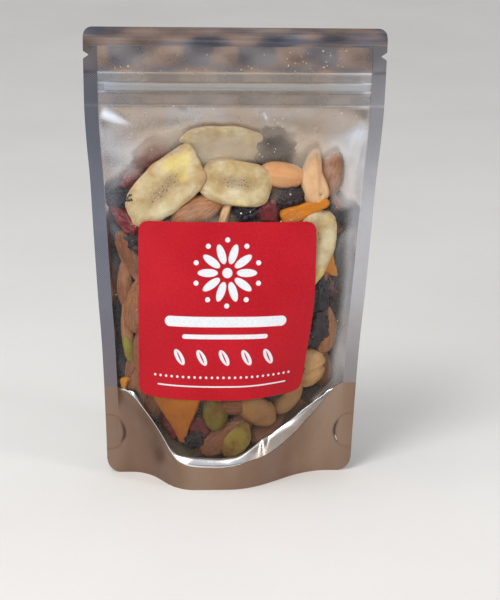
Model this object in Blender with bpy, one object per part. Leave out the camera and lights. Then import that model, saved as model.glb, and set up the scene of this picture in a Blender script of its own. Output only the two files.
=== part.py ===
"""Stand-up pouch of trail mix: a filled, heat-sealed bag with a bottom gusset, a zip and a front label.

The pouch stands on the XY plane and its front faces -Y. A place on its film is a pair (across, up): the
distance from the middle line measured along the flat film, and the height above the bottom edge.
"""

import math

import bmesh
import bpy
import numpy as np

MM = 0.001

# Flat sizes of the empty pouch
FLAT_WIDTH = 131 * MM
HEIGHT = 205.5 * MM
SIDE_SEAL = 6 * MM
HALF_FLAT = FLAT_WIDTH / 2
WEB_STACK = 1.0 * MM  # both webs pressed together, with room for the label's print and the zip's flanges
TOP_CORNER = 4 * MM
BOTTOM_CORNER = 7 * MM

# Half width of the filled pouch at (height, half width): it draws in where the film bulges
HALF_WIDTHS = [
    (0, 56.3), (12, 56.5), (40, 57.4), (61, 58.3), (86, 60.0),
    (119, 61.9), (138, 62.9), (158, 64.5), (172, 65.2), (205.5, 65.5),
]

# How far each side bulges at (height, bulge)
FRONT_BULGE = [
    (0, 21.3), (12, 22.8), (32, 23.2), (61, 21.5), (86, 18.3),
    (103, 15.5), (119, 13.0), (138, 9.6), (155, 5.2), (171, 0), (205.5, 0),
]
BACK_BULGE = [
    (0, 19), (12, 20), (32, 20), (61, 18), (86, 15.3),
    (103, 13), (119, 10.7), (138, 7.4), (155, 3.8), (171, 0), (205.5, 0),
]

# Across the foot the film swells in a soft bell, further up it is drawn tight in a flat-topped arch
FRONT_FOOT = (-54, -16, 0, 54)  # where the bell starts, is full, is full still and ends
BACK_FOOT = (-57, -8, 8, 57)
ARCH_MIDDLE = -1.5 * MM
ARCH_POWER = [(0, 2.3), (45, 2.5), (86, 2.9), (120, 3.5), (205.5, 3.5)]
ARCH_FROM = 6 * MM
ARCH_FULL = 46 * MM  # where the arch has fully formed, on the left and on the back
ARCH_FULL_RIGHT = 98 * MM
ARCH_TURN = 20 * MM  # half the width over which the left side's shape turns into the right side's
LEAST_RUN = 0.05  # squared cosine of the steepest slope that the film may take
BALANCE_UP = 16 * MM  # height where the front and the back reach equally far

# Curved seal that joins the front and back webs to the gusset
SEAL_CURVE = [  # (across, height)
    (-60, 44), (-51, 43.8), (-46.5, 42), (-44, 39), (-39, 31), (-36, 26.4), (-32.5, 22), (-28.5, 18.3),
    (-23, 15), (-14, 13.4), (-5, 13), (6, 14), (20, 15.6), (29, 18.4), (35.5, 21.8), (43, 28), (48.5, 33.8),
    (52.5, 39), (56, 42.3), (60, 43.5),
]
SKIRT = 0.8 * MM
RIDGE = 1.3 * MM
RIDGE_BELOW = 9 * MM
RIDGE_ABOVE = 3.2 * MM

# Gusset floor, seen from below
FLOOR_FLAT = 20 * MM
POCKET_END = 51 * MM
POCKET_HIGH = 24 * MM
POCKET_PEAK = 45 * MM
JOIN_DROP = 4 * MM  # how far below the curved seal the floor meets the skirts
WALL_SHARE = 0.3  # most of the depth that one skirt may take
FLOOR_SHARES = (0.03, 0.14, 0.27, 0.5, 0.73, 0.86, 0.97)  # points from the front skirt to the back one
WALL_FROM = 0.45  # share of the way from the middle to a skirt where the floor starts to turn up
WALL_RUN = 0.5  # share over which it turns up

# Round spots beside the gusset where its foil is punched away and the outer webs are joined
SPOT_RADIUS = 8.4 * MM
SPOT_HEIGHT = 20 * MM
SPOT_INSET = 1.2 * MM
SPOT_DEPTH = 0.3 * MM
SPOT_POINTS = 24
SPOT_RINGS = (  # share of the radius, and distance from the film in spot depths
    (0.3, -1), (0.65, -1), (1, -1), (1, 3), (0.65, 3), (0.3, 3),
)

# Header, from the bottom up
TAPE_LOW = 171.6 * MM
TAPE_HIGH = 185.9 * MM
TAPE_RELIEF = 0.15 * MM
ZIP_HEIGHT = 179.6 * MM
ZIP_BAND = 3.2 * MM
ZIP_THICK = 2.4 * MM
ZIP_LENGTH = 113 * MM
ZIP_CRUSH = 3 * MM
ZIP_END = 0.45  # share of its thickness that is left where it is pressed flat
ZIP_CORNER = 22.5  # degrees from an axis to the first corner of its eight-sided outline
NOTCH_HEIGHT = 193.5 * MM
NOTCH_DEEP = 2.5 * MM
NOTCH_BEYOND = 1 * MM  # how far its cutter starts outside the edge
NOTCH_MOUTH = 3.38 * MM  # how high the cutter is there

# Label on the front: its centre and size along the film
LABEL_ACROSS = -3.0 * MM
LABEL_UP = 83.3 * MM
LABEL_WIDTH = 79 * MM
LABEL_HEIGHT = 79 * MM
LABEL_CORNER = 4.5 * MM
LABEL_THICK = 0.4 * MM
LABEL_COLUMNS = 17
LABEL_ROWS = 10
LABEL_CORNER_ROWS = (0.0, 0.35, 1.3, 2.7)  # millimetres in from its lower and upper edges

# How finely the pouch is drawn
EDGE_COLUMNS = (0.0, 0.5, 1.6, 3.4, 5.8, 6.6, 9.0, 11.5, 14.0)  # millimetres in from each side edge
INNER_HALF = 45 * MM
INNER_COLUMNS = 10
SKIRT_ROWS = 3
FOLD_ROWS = (1.8, 4.0, 8.0)  # millimetres above the curved seal
BELLY_ROWS = (0.08, 0.18, 0.3, 0.42, 0.54, 0.66, 0.78, 0.9, 1)  # shares of the way from the fold to the tape
TAPE_EDGE = 0.2 * MM
HEADER_ROWS = (192 * MM, 198 * MM)
SAMPLES = 521
SHARP_ANGLE = 40
SAME_POINT = 0.01 * MM

GAP = 0.35 * MM
CUT_DEPTH = 6 * MM
CLEAR, METAL = 0, 1

FILM = (0.72, 0.70, 0.66, 1.0)
FILM_ROUGH = 0.2
FOIL = (0.62, 0.60, 0.58, 1.0)
FOIL_ROUGH = 0.3
FOIL_METALLIC = 0.85
RED = (0.70, 0.02, 0.035, 1.0)
PAPER_ROUGH = 0.45
ZIP_WHITE = (0.80, 0.82, 0.84, 1.0)
ZIP_ROUGH = 0.3


def smooth(t):
    """Smoothstep of t, held between 0 and 1."""
    t = np.clip(t, 0.0, 1.0)
    return t * t * (3 - 2 * t)


def through(table, up):
    """A smooth curve that never overshoots, through a table's points in millimetres, read in metres."""
    xs, ys = np.array(table).T * MM
    rises = np.diff(ys) / np.diff(xs)
    slopes = np.zeros_like(ys)
    same_way = rises[:-1] * rises[1:] > 0
    total = np.where(same_way, rises[:-1] + rises[1:], 1)
    slopes[1:-1] = np.where(same_way, 2 * rises[:-1] * rises[1:] / total, 0)
    at = np.clip(np.asarray(up, float), xs[0], xs[-1])
    i = np.clip(np.searchsorted(xs, at) - 1, 0, len(xs) - 2)
    wide = xs[i + 1] - xs[i]
    t = (at - xs[i]) / wide
    return (
        (2 * t**3 - 3 * t**2 + 1) * ys[i]
        + (t**3 - 2 * t**2 + t) * wide * slopes[i]
        + (3 * t**2 - 2 * t**3) * ys[i + 1]
        + (t**3 - t**2) * wide * slopes[i + 1]
    )


def seal_height(across):
    """Height of the curved gusset seal's upper edge."""
    return through(SEAL_CURVE, across)


def bell(across, places):
    """A soft swelling that starts, is full, is full still and ends at four places across, in millimetres."""
    start, full, still_full, end = (place * MM for place in places)
    rise = smooth((across - start) / (full - start))
    fall = smooth((across - still_full) / (end - still_full))
    return rise * (1 - fall)


def arch(across, up):
    """An arch between the side seals, steep beside them and nearly flat in the middle."""
    edge = HALF_FLAT - SIDE_SEAL
    off = across - ARCH_MIDDLE
    reach = np.where(off < 0, edge + ARCH_MIDDLE, edge - ARCH_MIDDLE)
    power = through(ARCH_POWER, up) / MM
    return np.clip(1 - np.clip(np.abs(off) / reach, 0, 1) ** power, 0, 1)


def profile(across, up, front):
    """How much of the bulge a point gets, 0 at the side seals and 1 at the crown."""
    to_right = smooth((across + ARCH_TURN) / (2 * ARCH_TURN)) if front else 0
    full = ARCH_FULL + (ARCH_FULL_RIGHT - ARCH_FULL) * to_right
    drawn = smooth((up - ARCH_FROM) / (full - ARCH_FROM))
    foot = bell(across, FRONT_FOOT if front else BACK_FOOT)
    return foot + (arch(across, up) - foot) * drawn


def ridge(across, up):
    """The film's fold along the curved seal: it swells slowly below the seal and drops quickly above it."""
    past = up - seal_height(across)
    reach = np.where(past < 0, RIDGE_BELOW, RIDGE_ABOVE)
    return RIDGE * np.exp(-((past / reach) ** 2))


def bulge(across, up, front):
    """Distance of the film's outer face from the plane of the side seals."""
    most = through(FRONT_BULGE if front else BACK_BULGE, up)
    tape = (up > TAPE_LOW) & (up < TAPE_HIGH)
    return WEB_STACK / 2 + (most + ridge(across, up)) * profile(across, up, front) + TAPE_RELIEF * tape


def film_x(across, up, front):
    """Where a point of the film lies across the pouch: bulging film covers less width than flat film."""
    along = np.linspace(-HALF_FLAT, HALF_FLAT, SAMPLES)
    most = through(FRONT_BULGE if front else BACK_BULGE, up)
    slope = np.gradient(most * profile(along, up, front), along)
    run = np.sqrt(np.clip(1 - slope**2, LEAST_RUN, 1))
    x = np.concatenate([[0], np.cumsum((run[1:] + run[:-1]) / 2 * np.diff(along))])
    x = (x - x[-1] / 2) / (x[-1] / 2) * through(HALF_WIDTHS, up)
    return float(np.interp(across, along, x))


SEAL_PLANE = (float(bulge(0, BALANCE_UP, True)) - float(bulge(0, BALANCE_UP, False))) / 2


def film_point(across, up, front, lift=0.0):
    """The point of the front or back film at (across, up), pushed outwards by lift."""
    away = float(bulge(across, up, front)) + lift
    return np.array([film_x(across, up, front), SEAL_PLANE + (away if not front else -away), up])


def corner_cut(across, radius):
    """How far a rounded corner moves the top or bottom edge at this distance from the middle."""
    into = abs(across) - (HALF_FLAT - radius)
    if into <= 0:
        return 0.0
    return radius - math.sqrt(max(radius**2 - into**2, 0.0))


def columns():
    """Places across the film where cross-sections are drawn, closer together at the seals and corners."""
    edge = [HALF_FLAT - step * MM for step in EDGE_COLUMNS]
    inner = list(np.linspace(INNER_HALF, 0, INNER_COLUMNS))
    half = edge + inner
    return sorted({-a for a in half} | set(half))


def front_heights(across):
    """Heights of the points up the front or back web at one place across."""
    low = corner_cut(across, BOTTOM_CORNER)
    high = HEIGHT - corner_cut(across, TOP_CORNER)
    seal = float(seal_height(across))
    skirt = [low + (seal - low) * step / SKIRT_ROWS for step in range(SKIRT_ROWS + 1)]
    fold = [seal + step * MM for step in FOLD_ROWS]
    belly = [fold[-1] + (TAPE_LOW - fold[-1]) * share for share in BELLY_ROWS]
    header = [TAPE_LOW + TAPE_EDGE, TAPE_HIGH - TAPE_EDGE, TAPE_HIGH, *HEADER_ROWS]
    return skirt + fold + belly + [min(h, high) for h in header] + [high]


def pocket_top(across):
    """Height of the gusset's fold above the table: flat on it in the middle, high up beside the seals."""
    a = abs(across)
    rise = smooth((a - FLOOR_FLAT) / (POCKET_PEAK - FLOOR_FLAT)) * POCKET_HIGH
    shut = smooth((a - POCKET_PEAK) / (POCKET_END - POCKET_PEAK))
    return float(rise * (1 - shut))


def floor_points(across, front_edge, back_edge):
    """The underside at one place across, from the front skirt's foot to the back skirt's."""
    low = corner_cut(across, BOTTOM_CORNER)
    depth = back_edge - front_edge
    open_share = float(1 - smooth((abs(across) - POCKET_PEAK) / (POCKET_END - POCKET_PEAK)))
    wall = min(SKIRT, depth * WALL_SHARE)
    join = max((float(seal_height(across)) - JOIN_DROP) * open_share, low)
    top = max(pocket_top(across), low)
    inside = depth - 2 * wall
    points = [(front_edge + wall, low)]
    for share in FLOOR_SHARES:
        off_middle = abs(2 * share - 1)
        blend = smooth((off_middle - WALL_FROM) / WALL_RUN)
        points.append((front_edge + wall + inside * share, top + (join - top) * float(blend)))
    points.append((back_edge - wall, low))
    return points


def section(across):
    """One closed cross-section of the pouch: up the front, down the back and across the underside."""
    heights = front_heights(across)
    front = [film_point(across, up, True) for up in heights]
    back = [film_point(across, up, False) for up in reversed(heights)]
    feet = floor_points(across, front[0][1], back[-1][1])
    x = (front[0][0] + back[-1][0]) / 2
    under = [np.array([x, y, z]) for y, z in reversed(feet)]
    return front + back + under


def material(name, colour, roughness, metallic=0.0):
    made = bpy.data.materials.new(name)
    made.use_nodes = True
    shader = made.node_tree.nodes["Principled BSDF"]
    shader.inputs["Base Color"].default_value = colour
    shader.inputs["Roughness"].default_value = roughness
    shader.inputs["Metallic"].default_value = metallic
    return made


def clear_film():
    return material("clear_film", FILM, FILM_ROUGH)


def metal_foil():
    return material("metal_foil", FOIL, FOIL_ROUGH, FOIL_METALLIC)


def label_paper():
    return material("label_paper", RED, PAPER_ROUGH)


def zip_plastic():
    return material("zip_plastic", ZIP_WHITE, ZIP_ROUGH)


def new_object(name, mesh, *materials):
    for each in materials:
        mesh.materials.append(each)
    obj = bpy.data.objects.new(name, mesh)
    bpy.context.scene.collection.objects.link(obj)
    mesh.shade_smooth()
    mesh.set_sharp_from_angle(angle=math.radians(SHARP_ANGLE))
    return obj


def lofted(name, rings, material_of=None):
    """A closed mesh through rings of equal length; material_of gives the material after each point."""
    mesh = bpy.data.meshes.new(name)
    bm = bmesh.new()
    loops = [[bm.verts.new(p) for p in ring] for ring in rings]
    count = len(loops[0])
    for one, two in zip(loops, loops[1:]):
        for i in range(count):
            j = (i + 1) % count
            face = bm.faces.new((one[i], two[i], two[j], one[j]))
            if material_of:
                face.material_index = material_of(i)
    for ring in (loops[0], loops[-1]):
        bm.faces.new(ring)
    bmesh.ops.remove_doubles(bm, verts=bm.verts, dist=SAME_POINT)
    bmesh.ops.triangulate(bm, faces=bm.faces)
    bmesh.ops.recalc_face_normals(bm, faces=bm.faces)
    bm.to_mesh(mesh)
    bm.free()
    return mesh


def hidden_cutter(name, mesh):
    cutter = bpy.data.objects.new(name, mesh)
    cutter.hide_render = True
    cutter.display_type = "WIRE"
    bpy.context.scene.collection.objects.link(cutter)
    return cutter


def spot_cutter(name, sign, front):
    """A disc that follows the film and sinks a shallow round spot into it, open at the pouch's side edge."""
    centre = sign * (HALF_FLAT - SPOT_INSET)
    rings = []
    for share, lift in SPOT_RINGS:
        ring = []
        for step in range(SPOT_POINTS):
            turn = 2 * math.pi * step / SPOT_POINTS
            across = centre + SPOT_RADIUS * share * math.cos(turn)
            inside = min(max(across, -HALF_FLAT), HALF_FLAT)
            up = SPOT_HEIGHT + SPOT_RADIUS * share * math.sin(turn)
            point = film_point(inside, up, front, lift * SPOT_DEPTH)
            ring.append(point + np.array([across - inside, 0, 0]))
        rings.append(ring)
    return hidden_cutter(name, lofted(name, rings))


def prism_cutter(name, outline):
    """A cutter with an outline of (x, z) points that goes through the pouch from front to back."""
    mesh = bpy.data.meshes.new(name)
    bm = bmesh.new()
    face = bm.faces.new([bm.verts.new((x, SEAL_PLANE - CUT_DEPTH / 2, z)) for x, z in outline])
    made = bmesh.ops.extrude_face_region(bm, geom=[face])
    moved = [g for g in made["geom"] if isinstance(g, bmesh.types.BMVert)]
    bmesh.ops.translate(bm, vec=(0, CUT_DEPTH, 0), verts=moved)
    bmesh.ops.recalc_face_normals(bm, faces=bm.faces)
    bm.to_mesh(mesh)
    bm.free()
    return hidden_cutter(name, mesh)


def cut(obj, cutter):
    boolean = obj.modifiers.new(cutter.name, "BOOLEAN")
    boolean.operation = "DIFFERENCE"
    boolean.solver = "EXACT"
    boolean.object = cutter


def notch_outline(sign):
    """The wedge of one tear notch, at the left edge for sign -1 and at the right one for sign 1."""
    tip = sign * (HALF_FLAT - NOTCH_DEEP)
    mouth = sign * (HALF_FLAT + NOTCH_BEYOND)
    half = NOTCH_MOUTH / 2
    return [(mouth, NOTCH_HEIGHT - half), (tip, NOTCH_HEIGHT), (mouth, NOTCH_HEIGHT + half)]


def zip_outline():
    """The room that the zip needs inside the pouch."""
    half_long = ZIP_LENGTH / 2 + GAP
    half_high = ZIP_BAND / 2 + GAP
    return [
        (-half_long, ZIP_HEIGHT - half_high),
        (half_long, ZIP_HEIGHT - half_high),
        (half_long, ZIP_HEIGHT + half_high),
        (-half_long, ZIP_HEIGHT + half_high),
    ]


def build_bag():
    """The filled pouch as one closed body: clear film in front, foil behind and below."""
    top = len(front_heights(0)) - 1
    mesh = lofted("bag", [section(a) for a in columns()], lambda i: CLEAR if SKIRT_ROWS <= i < top else METAL)
    bag = new_object("bag", mesh, clear_film(), metal_foil())
    for side, sign in (("left", -1), ("right", 1)):
        cut(bag, prism_cutter(f"notch_{side}", notch_outline(sign)))
        cut(bag, spot_cutter(f"spot_{side}_front", sign, True))
        cut(bag, spot_cutter(f"spot_{side}_back", sign, False))
    cut(bag, prism_cutter("zip_slot", zip_outline()))


def build_zip():
    """The closed zip: a rounded bar that is pressed flat at both ends, where the side seals cross it."""
    half = ZIP_LENGTH / 2
    stations = [(-half, ZIP_END), (-half + ZIP_CRUSH, 1.0), (half - ZIP_CRUSH, 1.0), (half, ZIP_END)]
    turns = [math.radians(ZIP_CORNER * (2 * i + 1)) for i in range(8)]
    reach = 0.5 / math.cos(math.radians(ZIP_CORNER))
    rings = []
    for x, share in stations:
        ring = []
        for turn in turns:
            y = SEAL_PLANE + ZIP_THICK * share * reach * math.cos(turn)
            z = ZIP_HEIGHT + ZIP_BAND * reach * math.sin(turn)
            ring.append((x, y, z))
        rings.append(ring)
    new_object("zip_strip", lofted("zip_strip", rings), zip_plastic())


def label_half_width(up):
    """Half the label's width at this height, less where its corners are round."""
    off = LABEL_HEIGHT / 2 - abs(up - LABEL_UP)
    if off >= LABEL_CORNER:
        return LABEL_WIDTH / 2
    inner = LABEL_CORNER - off
    return LABEL_WIDTH / 2 - LABEL_CORNER + math.sqrt(max(LABEL_CORNER**2 - inner**2, 0.0))


def build_label():
    """A sheet with round corners that follows the front film."""
    half = LABEL_HEIGHT / 2
    low_steps = [step * MM for step in LABEL_CORNER_ROWS] + [LABEL_CORNER]
    inner_steps = list(np.linspace(LABEL_CORNER, LABEL_HEIGHT - LABEL_CORNER, LABEL_ROWS))[1:-1]
    high_steps = [LABEL_HEIGHT - step for step in reversed(low_steps)]
    ups = [LABEL_UP - half + step for step in low_steps + inner_steps + high_steps]
    shares = np.linspace(-1, 1, LABEL_COLUMNS)
    rings = []
    for up in ups:
        places = [LABEL_ACROSS + label_half_width(up) * share for share in shares]
        outer = [film_point(a, up, True, GAP + LABEL_THICK) for a in places]
        inner_side = [film_point(a, up, True, GAP) for a in reversed(places)]
        rings.append(outer + inner_side)
    new_object("label", lofted("label", rings), label_paper())


for old in list(bpy.data.objects):
    bpy.data.objects.remove(old)
build_bag()
build_zip()
build_label()
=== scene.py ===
"""Looks of the stand-up pouch of trail mix: clear front film, foil back, zip, label and what is inside.

A place on the film is (across, up): the distance from the middle line along the flat film, and the height.
"""

import math

import bmesh
import bpy
import numpy as np
from mathutils import Matrix, Vector, noise


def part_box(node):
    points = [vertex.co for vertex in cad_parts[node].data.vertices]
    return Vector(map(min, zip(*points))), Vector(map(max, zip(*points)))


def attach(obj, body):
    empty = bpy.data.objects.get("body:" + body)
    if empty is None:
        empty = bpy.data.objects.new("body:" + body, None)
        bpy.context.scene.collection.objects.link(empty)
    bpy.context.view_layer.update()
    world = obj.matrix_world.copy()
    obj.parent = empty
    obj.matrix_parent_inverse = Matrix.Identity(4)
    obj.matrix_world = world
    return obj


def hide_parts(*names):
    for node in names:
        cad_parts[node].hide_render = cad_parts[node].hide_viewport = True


MM = 0.001
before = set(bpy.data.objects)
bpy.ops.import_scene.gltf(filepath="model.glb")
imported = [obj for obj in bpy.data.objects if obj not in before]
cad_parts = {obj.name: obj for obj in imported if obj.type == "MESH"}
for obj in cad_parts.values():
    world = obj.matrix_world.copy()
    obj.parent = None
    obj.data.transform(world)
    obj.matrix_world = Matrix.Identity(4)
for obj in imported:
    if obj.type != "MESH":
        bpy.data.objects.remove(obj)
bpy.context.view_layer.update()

# The pouch's sizes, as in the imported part
HALF_FLAT = 65.5 * MM
HEIGHT = 205.5 * MM
SIDE_SEAL = 6 * MM
TOP_CORNER = 4 * MM
BOTTOM_CORNER = 7 * MM
WEB_STACK = 0.5 * MM
SEAL_PLANE = 1.465 * MM
HALF_WIDTHS = [
    (0, 56.3), (12, 56.5), (40, 57.4), (61, 58.3), (86, 60.0),
    (119, 61.9), (138, 62.9), (158, 64.5), (172, 65.2), (205.5, 65.5),
]
FRONT_BULGE = [
    (0, 21.3), (12, 22.8), (32, 23.2), (61, 21.5), (86, 18.3),
    (103, 15.5), (119, 13.0), (138, 9.6), (155, 5.2), (171, 0), (205.5, 0),
]
BACK_BULGE = [
    (0, 19), (12, 20), (32, 20), (61, 18), (86, 15.3),
    (103, 13), (119, 10.7), (138, 7.4), (155, 3.8), (171, 0), (205.5, 0),
]
FRONT_FOOT = (-54, -16, 0, 54)
BACK_FOOT = (-57, -8, 8, 57)
ARCH_MIDDLE = -1.5 * MM
ARCH_POWER = [(0, 2.3), (45, 2.5), (86, 2.9), (120, 3.5), (205.5, 3.5)]
ARCH_FROM = 6 * MM
ARCH_FULL = 46 * MM
ARCH_FULL_RIGHT = 98 * MM
SEAL_CURVE = [  # (across, height)
    (-60, 42.2), (-56, 42.6), (-51, 43.6), (-46.5, 42), (-44, 39), (-39, 31), (-36, 26.4), (-32.5, 22),
    (-28.5, 18.3), (-23, 15), (-14, 13.4), (-5, 13), (6, 14), (20, 15.6), (29, 18.4), (35.5, 21.8), (43, 28),
    (48.5, 33.8), (52.5, 39), (56, 42.3), (60, 43.5),
]
RIDGE = 1.3 * MM
RIDGE_BELOW = 9 * MM
RIDGE_ABOVE = 3.2 * MM
FLOOR_FLAT = 20 * MM
POCKET_END = 51 * MM
POCKET_HIGH = 24 * MM
POCKET_PEAK = 45 * MM
TAPE_LOW = 171.6 * MM
TAPE_HIGH = 185.9 * MM
TOP_SEAL = 197.5 * MM
NOTCH_HEIGHT = 193.5 * MM
NOTCH_DEEP = 2.5 * MM
NOTCH_HALF = 1.7 * MM
SPOT_RADIUS = 8.4 * MM
SPOT_HEIGHT = 20 * MM
SPOT_INSET = 1.2 * MM
SPOT_GROOVE = 0.3 * MM
ZIP_HEIGHT = 179.6 * MM
SEAL_BEAD = 0.3 * MM
ROLL = [  # (across, how far the bottom foil swells up above the seal just behind the film)
    (-56, 0), (-50, -0.5), (-40, -2), (-30, -2), (-23, -0.5), (-16, 0.9), (3, 0.9), (6, 1.6), (9, 3),
    (12, 4.4), (20, 7.6), (29, 7.6), (38, 7), (45.5, 4.6), (50.5, 2.6), (56, 0),
]
ROLL_SHARE = 0.11  # share of the way from the front seal to the back one where it is highest
GUSSET_HALF = 56  # millimetres from the middle to where the bottom foil ends
SHEET_GAP = 0.25 * MM  # between the bottom foil and the films
WELD_GAP = 0.004 * MM  # points of one film nearer than this become one
FACET_ACROSS = 17 * MM  # a small facet in the roll
FACET_DEEP = 1.1 * MM
LABEL_ACROSS = -3.0 * MM
LABEL_UP = 83.3 * MM
LABEL_WIDTH = 79 * MM
LABEL_HEIGHT = 79 * MM
LABEL_CORNER = 4.5 * MM

# Creases in the films, in millimetres: from (across, up) to (across, up), half width, height (negative: a
# valley), and where it isn't CREASE_RISE, the share of its length in which it rises
CREASE_RISE = 0.12
FRONT_CREASES = [
    (-58.5, 170, -40, 161.5, 3.2, 2.6, 0.40),
    (-58, 169, -47, 147, 2.2, 0.8),
    (-58, 162, -50, 128, 2.4, -0.7),
    (-57, 170, -30, 152, 3.0, -0.7),
    (57.5, 170.5, 34, 158, 2.6, 0.9),
    (58, 168, 47, 140, 2.4, 0.9),
    (57, 170, 40, 147, 2.6, -0.8),
    (58, 158, 51, 120, 2.0, 0.7),
    (6, 170, 9.5, 160, 1.6, 0.7),
    (-15, 171, -17, 152, 2.2, 0.45),
    (24, 171, 20, 158, 2.6, -0.45),
    (-57, 120, -46, 108, 2.6, -0.6),
    (57, 112, 46, 100, 2.6, -0.6),
    (58, 96, 52, 60, 1.6, 0.7),
    (11.5, 124, 10.5, 52, 0.7, 0.28),
    (14, 20.5, 9, 31, 1.4, -0.9),
    (18, 24, 24, 29, 1.4, 0.6),
]
BACK_CREASES = [
    (-52, 166, -20, 152, 4.0, -0.35),
    (52, 166, 22, 152, 4.0, -0.35),
    (-4, 170, 3, 148, 3.4, 0.4),
    (-24, 171, -18, 154, 3.0, -0.4),
    (28, 171, 22, 150, 3.0, 0.45),
    (-58, 96, -30, 82, 4.0, -0.6),
    (58, 88, 28, 72, 4.0, -0.6),
    (-58, 60, -30, 40, 4.0, 0.5),
    (58, 58, 32, 36, 4.0, 0.5),
]
# Painted highlights where folds of the front film catch the light: from (across, up) to (across, up), half
# widths and strength
PAINTED_GLINTS = [
    (-59.5, 169.0, -42, 162.0, 2.9, 0.8, 0.72),
    (12.2, 169.6, 15.4, 162.8, 0.8, 1.3, 0.34),
    (59, 162, 38, 154.5, 3.6, 1.4, 0.26),
    (-16, 170, -19, 158, 1.0, 2.0, 0.10),
]
HATCH_PITCH = 0.95
PUCKER = 0.35 * MM
PUCKER_STEP = 17 * MM
PUCKER_REACH = 9 * MM


def smooth(t):
    t = np.clip(t, 0.0, 1.0)
    return t * t * (3 - 2 * t)


def through(table, up):
    """A smooth curve that never overshoots, through a table's points in millimetres, read in metres."""
    xs, ys = np.array(table).T * MM
    rises = np.diff(ys) / np.diff(xs)
    slopes = np.zeros_like(ys)
    same_way = rises[:-1] * rises[1:] > 0
    total = np.where(same_way, rises[:-1] + rises[1:], 1)
    slopes[1:-1] = np.where(same_way, 2 * rises[:-1] * rises[1:] / total, 0)
    at = np.clip(np.asarray(up, float), xs[0], xs[-1])
    i = np.clip(np.searchsorted(xs, at) - 1, 0, len(xs) - 2)
    wide = xs[i + 1] - xs[i]
    t = (at - xs[i]) / wide
    return (
        (2 * t**3 - 3 * t**2 + 1) * ys[i]
        + (t**3 - 2 * t**2 + t) * wide * slopes[i]
        + (3 * t**2 - 2 * t**3) * ys[i + 1]
        + (t**3 - t**2) * wide * slopes[i + 1]
    )


def seal_height(across):
    return through(SEAL_CURVE, across)


def bell(across, places):
    start, full, still_full, end = (place * MM for place in places)
    rise = smooth((across - start) / (full - start))
    fall = smooth((across - still_full) / (end - still_full))
    return rise * (1 - fall)


def arch(across, up):
    edge = HALF_FLAT - SIDE_SEAL
    off = across - ARCH_MIDDLE
    reach = np.where(off < 0, edge + ARCH_MIDDLE, edge - ARCH_MIDDLE)
    power = through(ARCH_POWER, up) / MM
    return np.clip(1 - np.clip(np.abs(off) / reach, 0, 1) ** power, 0, 1)


def profile(across, up, front):
    """How much of the bulge a point gets, 0 at the side seals and 1 at the crown."""
    to_right = smooth((across + 20 * MM) / (40 * MM)) if front else 0
    full = ARCH_FULL + (ARCH_FULL_RIGHT - ARCH_FULL) * to_right
    drawn = smooth((up - ARCH_FROM) / (full - ARCH_FROM))
    foot = bell(across, FRONT_FOOT if front else BACK_FOOT)
    return foot + (arch(across, up) - foot) * drawn


def ridge(across, up):
    past = up - seal_height(across)
    reach = np.where(past < 0, RIDGE_BELOW, RIDGE_ABOVE)
    return RIDGE * np.exp(-((past / reach) ** 2))


def creases(across, up, rows):
    """Folds that rise quickly at their first end and die out towards the second."""
    total = np.zeros(np.broadcast(across, up).shape)
    for a0, v0, a1, v1, wide, high, *slow in rows:
        ax, ay = (a1 - a0) * MM, (v1 - v0) * MM
        length = math.hypot(ax, ay)
        px, py = across - a0 * MM, up - v0 * MM
        along = (px * ax + py * ay) / length**2
        off = (px * ay - py * ax) / length
        spread = wide * MM * (0.45 + 0.9 * np.clip(along, 0, 1))
        rise = slow[0] if slow else CREASE_RISE
        fade = smooth(along / rise) * (1 - smooth((along - rise - 0.1) / (0.9 - rise)))
        sharp = np.sqrt(off**2 + (0.18 * wide * MM) ** 2) / spread
        total = total + high * MM * fade * np.exp(-sharp**1.3)
    return total


def painted_glint_field(across, up):
    """Painted highlight: how much pale veil the film gets along the folds that catch the light, strongest
    near their first ends.
    """
    total = np.zeros(np.broadcast(across, up).shape)
    for a0, v0, a1, v1, wide, narrow, strong in PAINTED_GLINTS:
        ax, ay = (a1 - a0) * MM, (v1 - v0) * MM
        length = math.hypot(ax, ay)
        px, py = across - a0 * MM, up - v0 * MM
        along = (px * ax + py * ay) / length**2
        off = (px * ay - py * ax) / length
        spread = (wide + (narrow - wide) * np.clip(along, 0, 1)) * MM
        fade = smooth(along / 0.15) * (1 - smooth((along - 0.35) / 0.65))
        total = np.maximum(total, strong * fade * np.exp(-((off / spread) ** 2)))
    return total * (np.abs(across) < HALF_FLAT - SIDE_SEAL)


def tape_relief(across, up):
    """The zip pushes both webs out, and its flange shows as two faint steps."""
    flange = smooth((up - TAPE_LOW) / (0.4 * MM)) * (1 - smooth((up - TAPE_HIGH) / (0.4 * MM)))
    ends = 1 - smooth((np.abs(across) - 55 * MM) / (2 * MM))
    zip_bar = np.exp(-(((up - ZIP_HEIGHT) / (2.0 * MM)) ** 4)) * ends
    return 0.15 * MM * flange + 0.75 * MM * zip_bar


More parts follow.
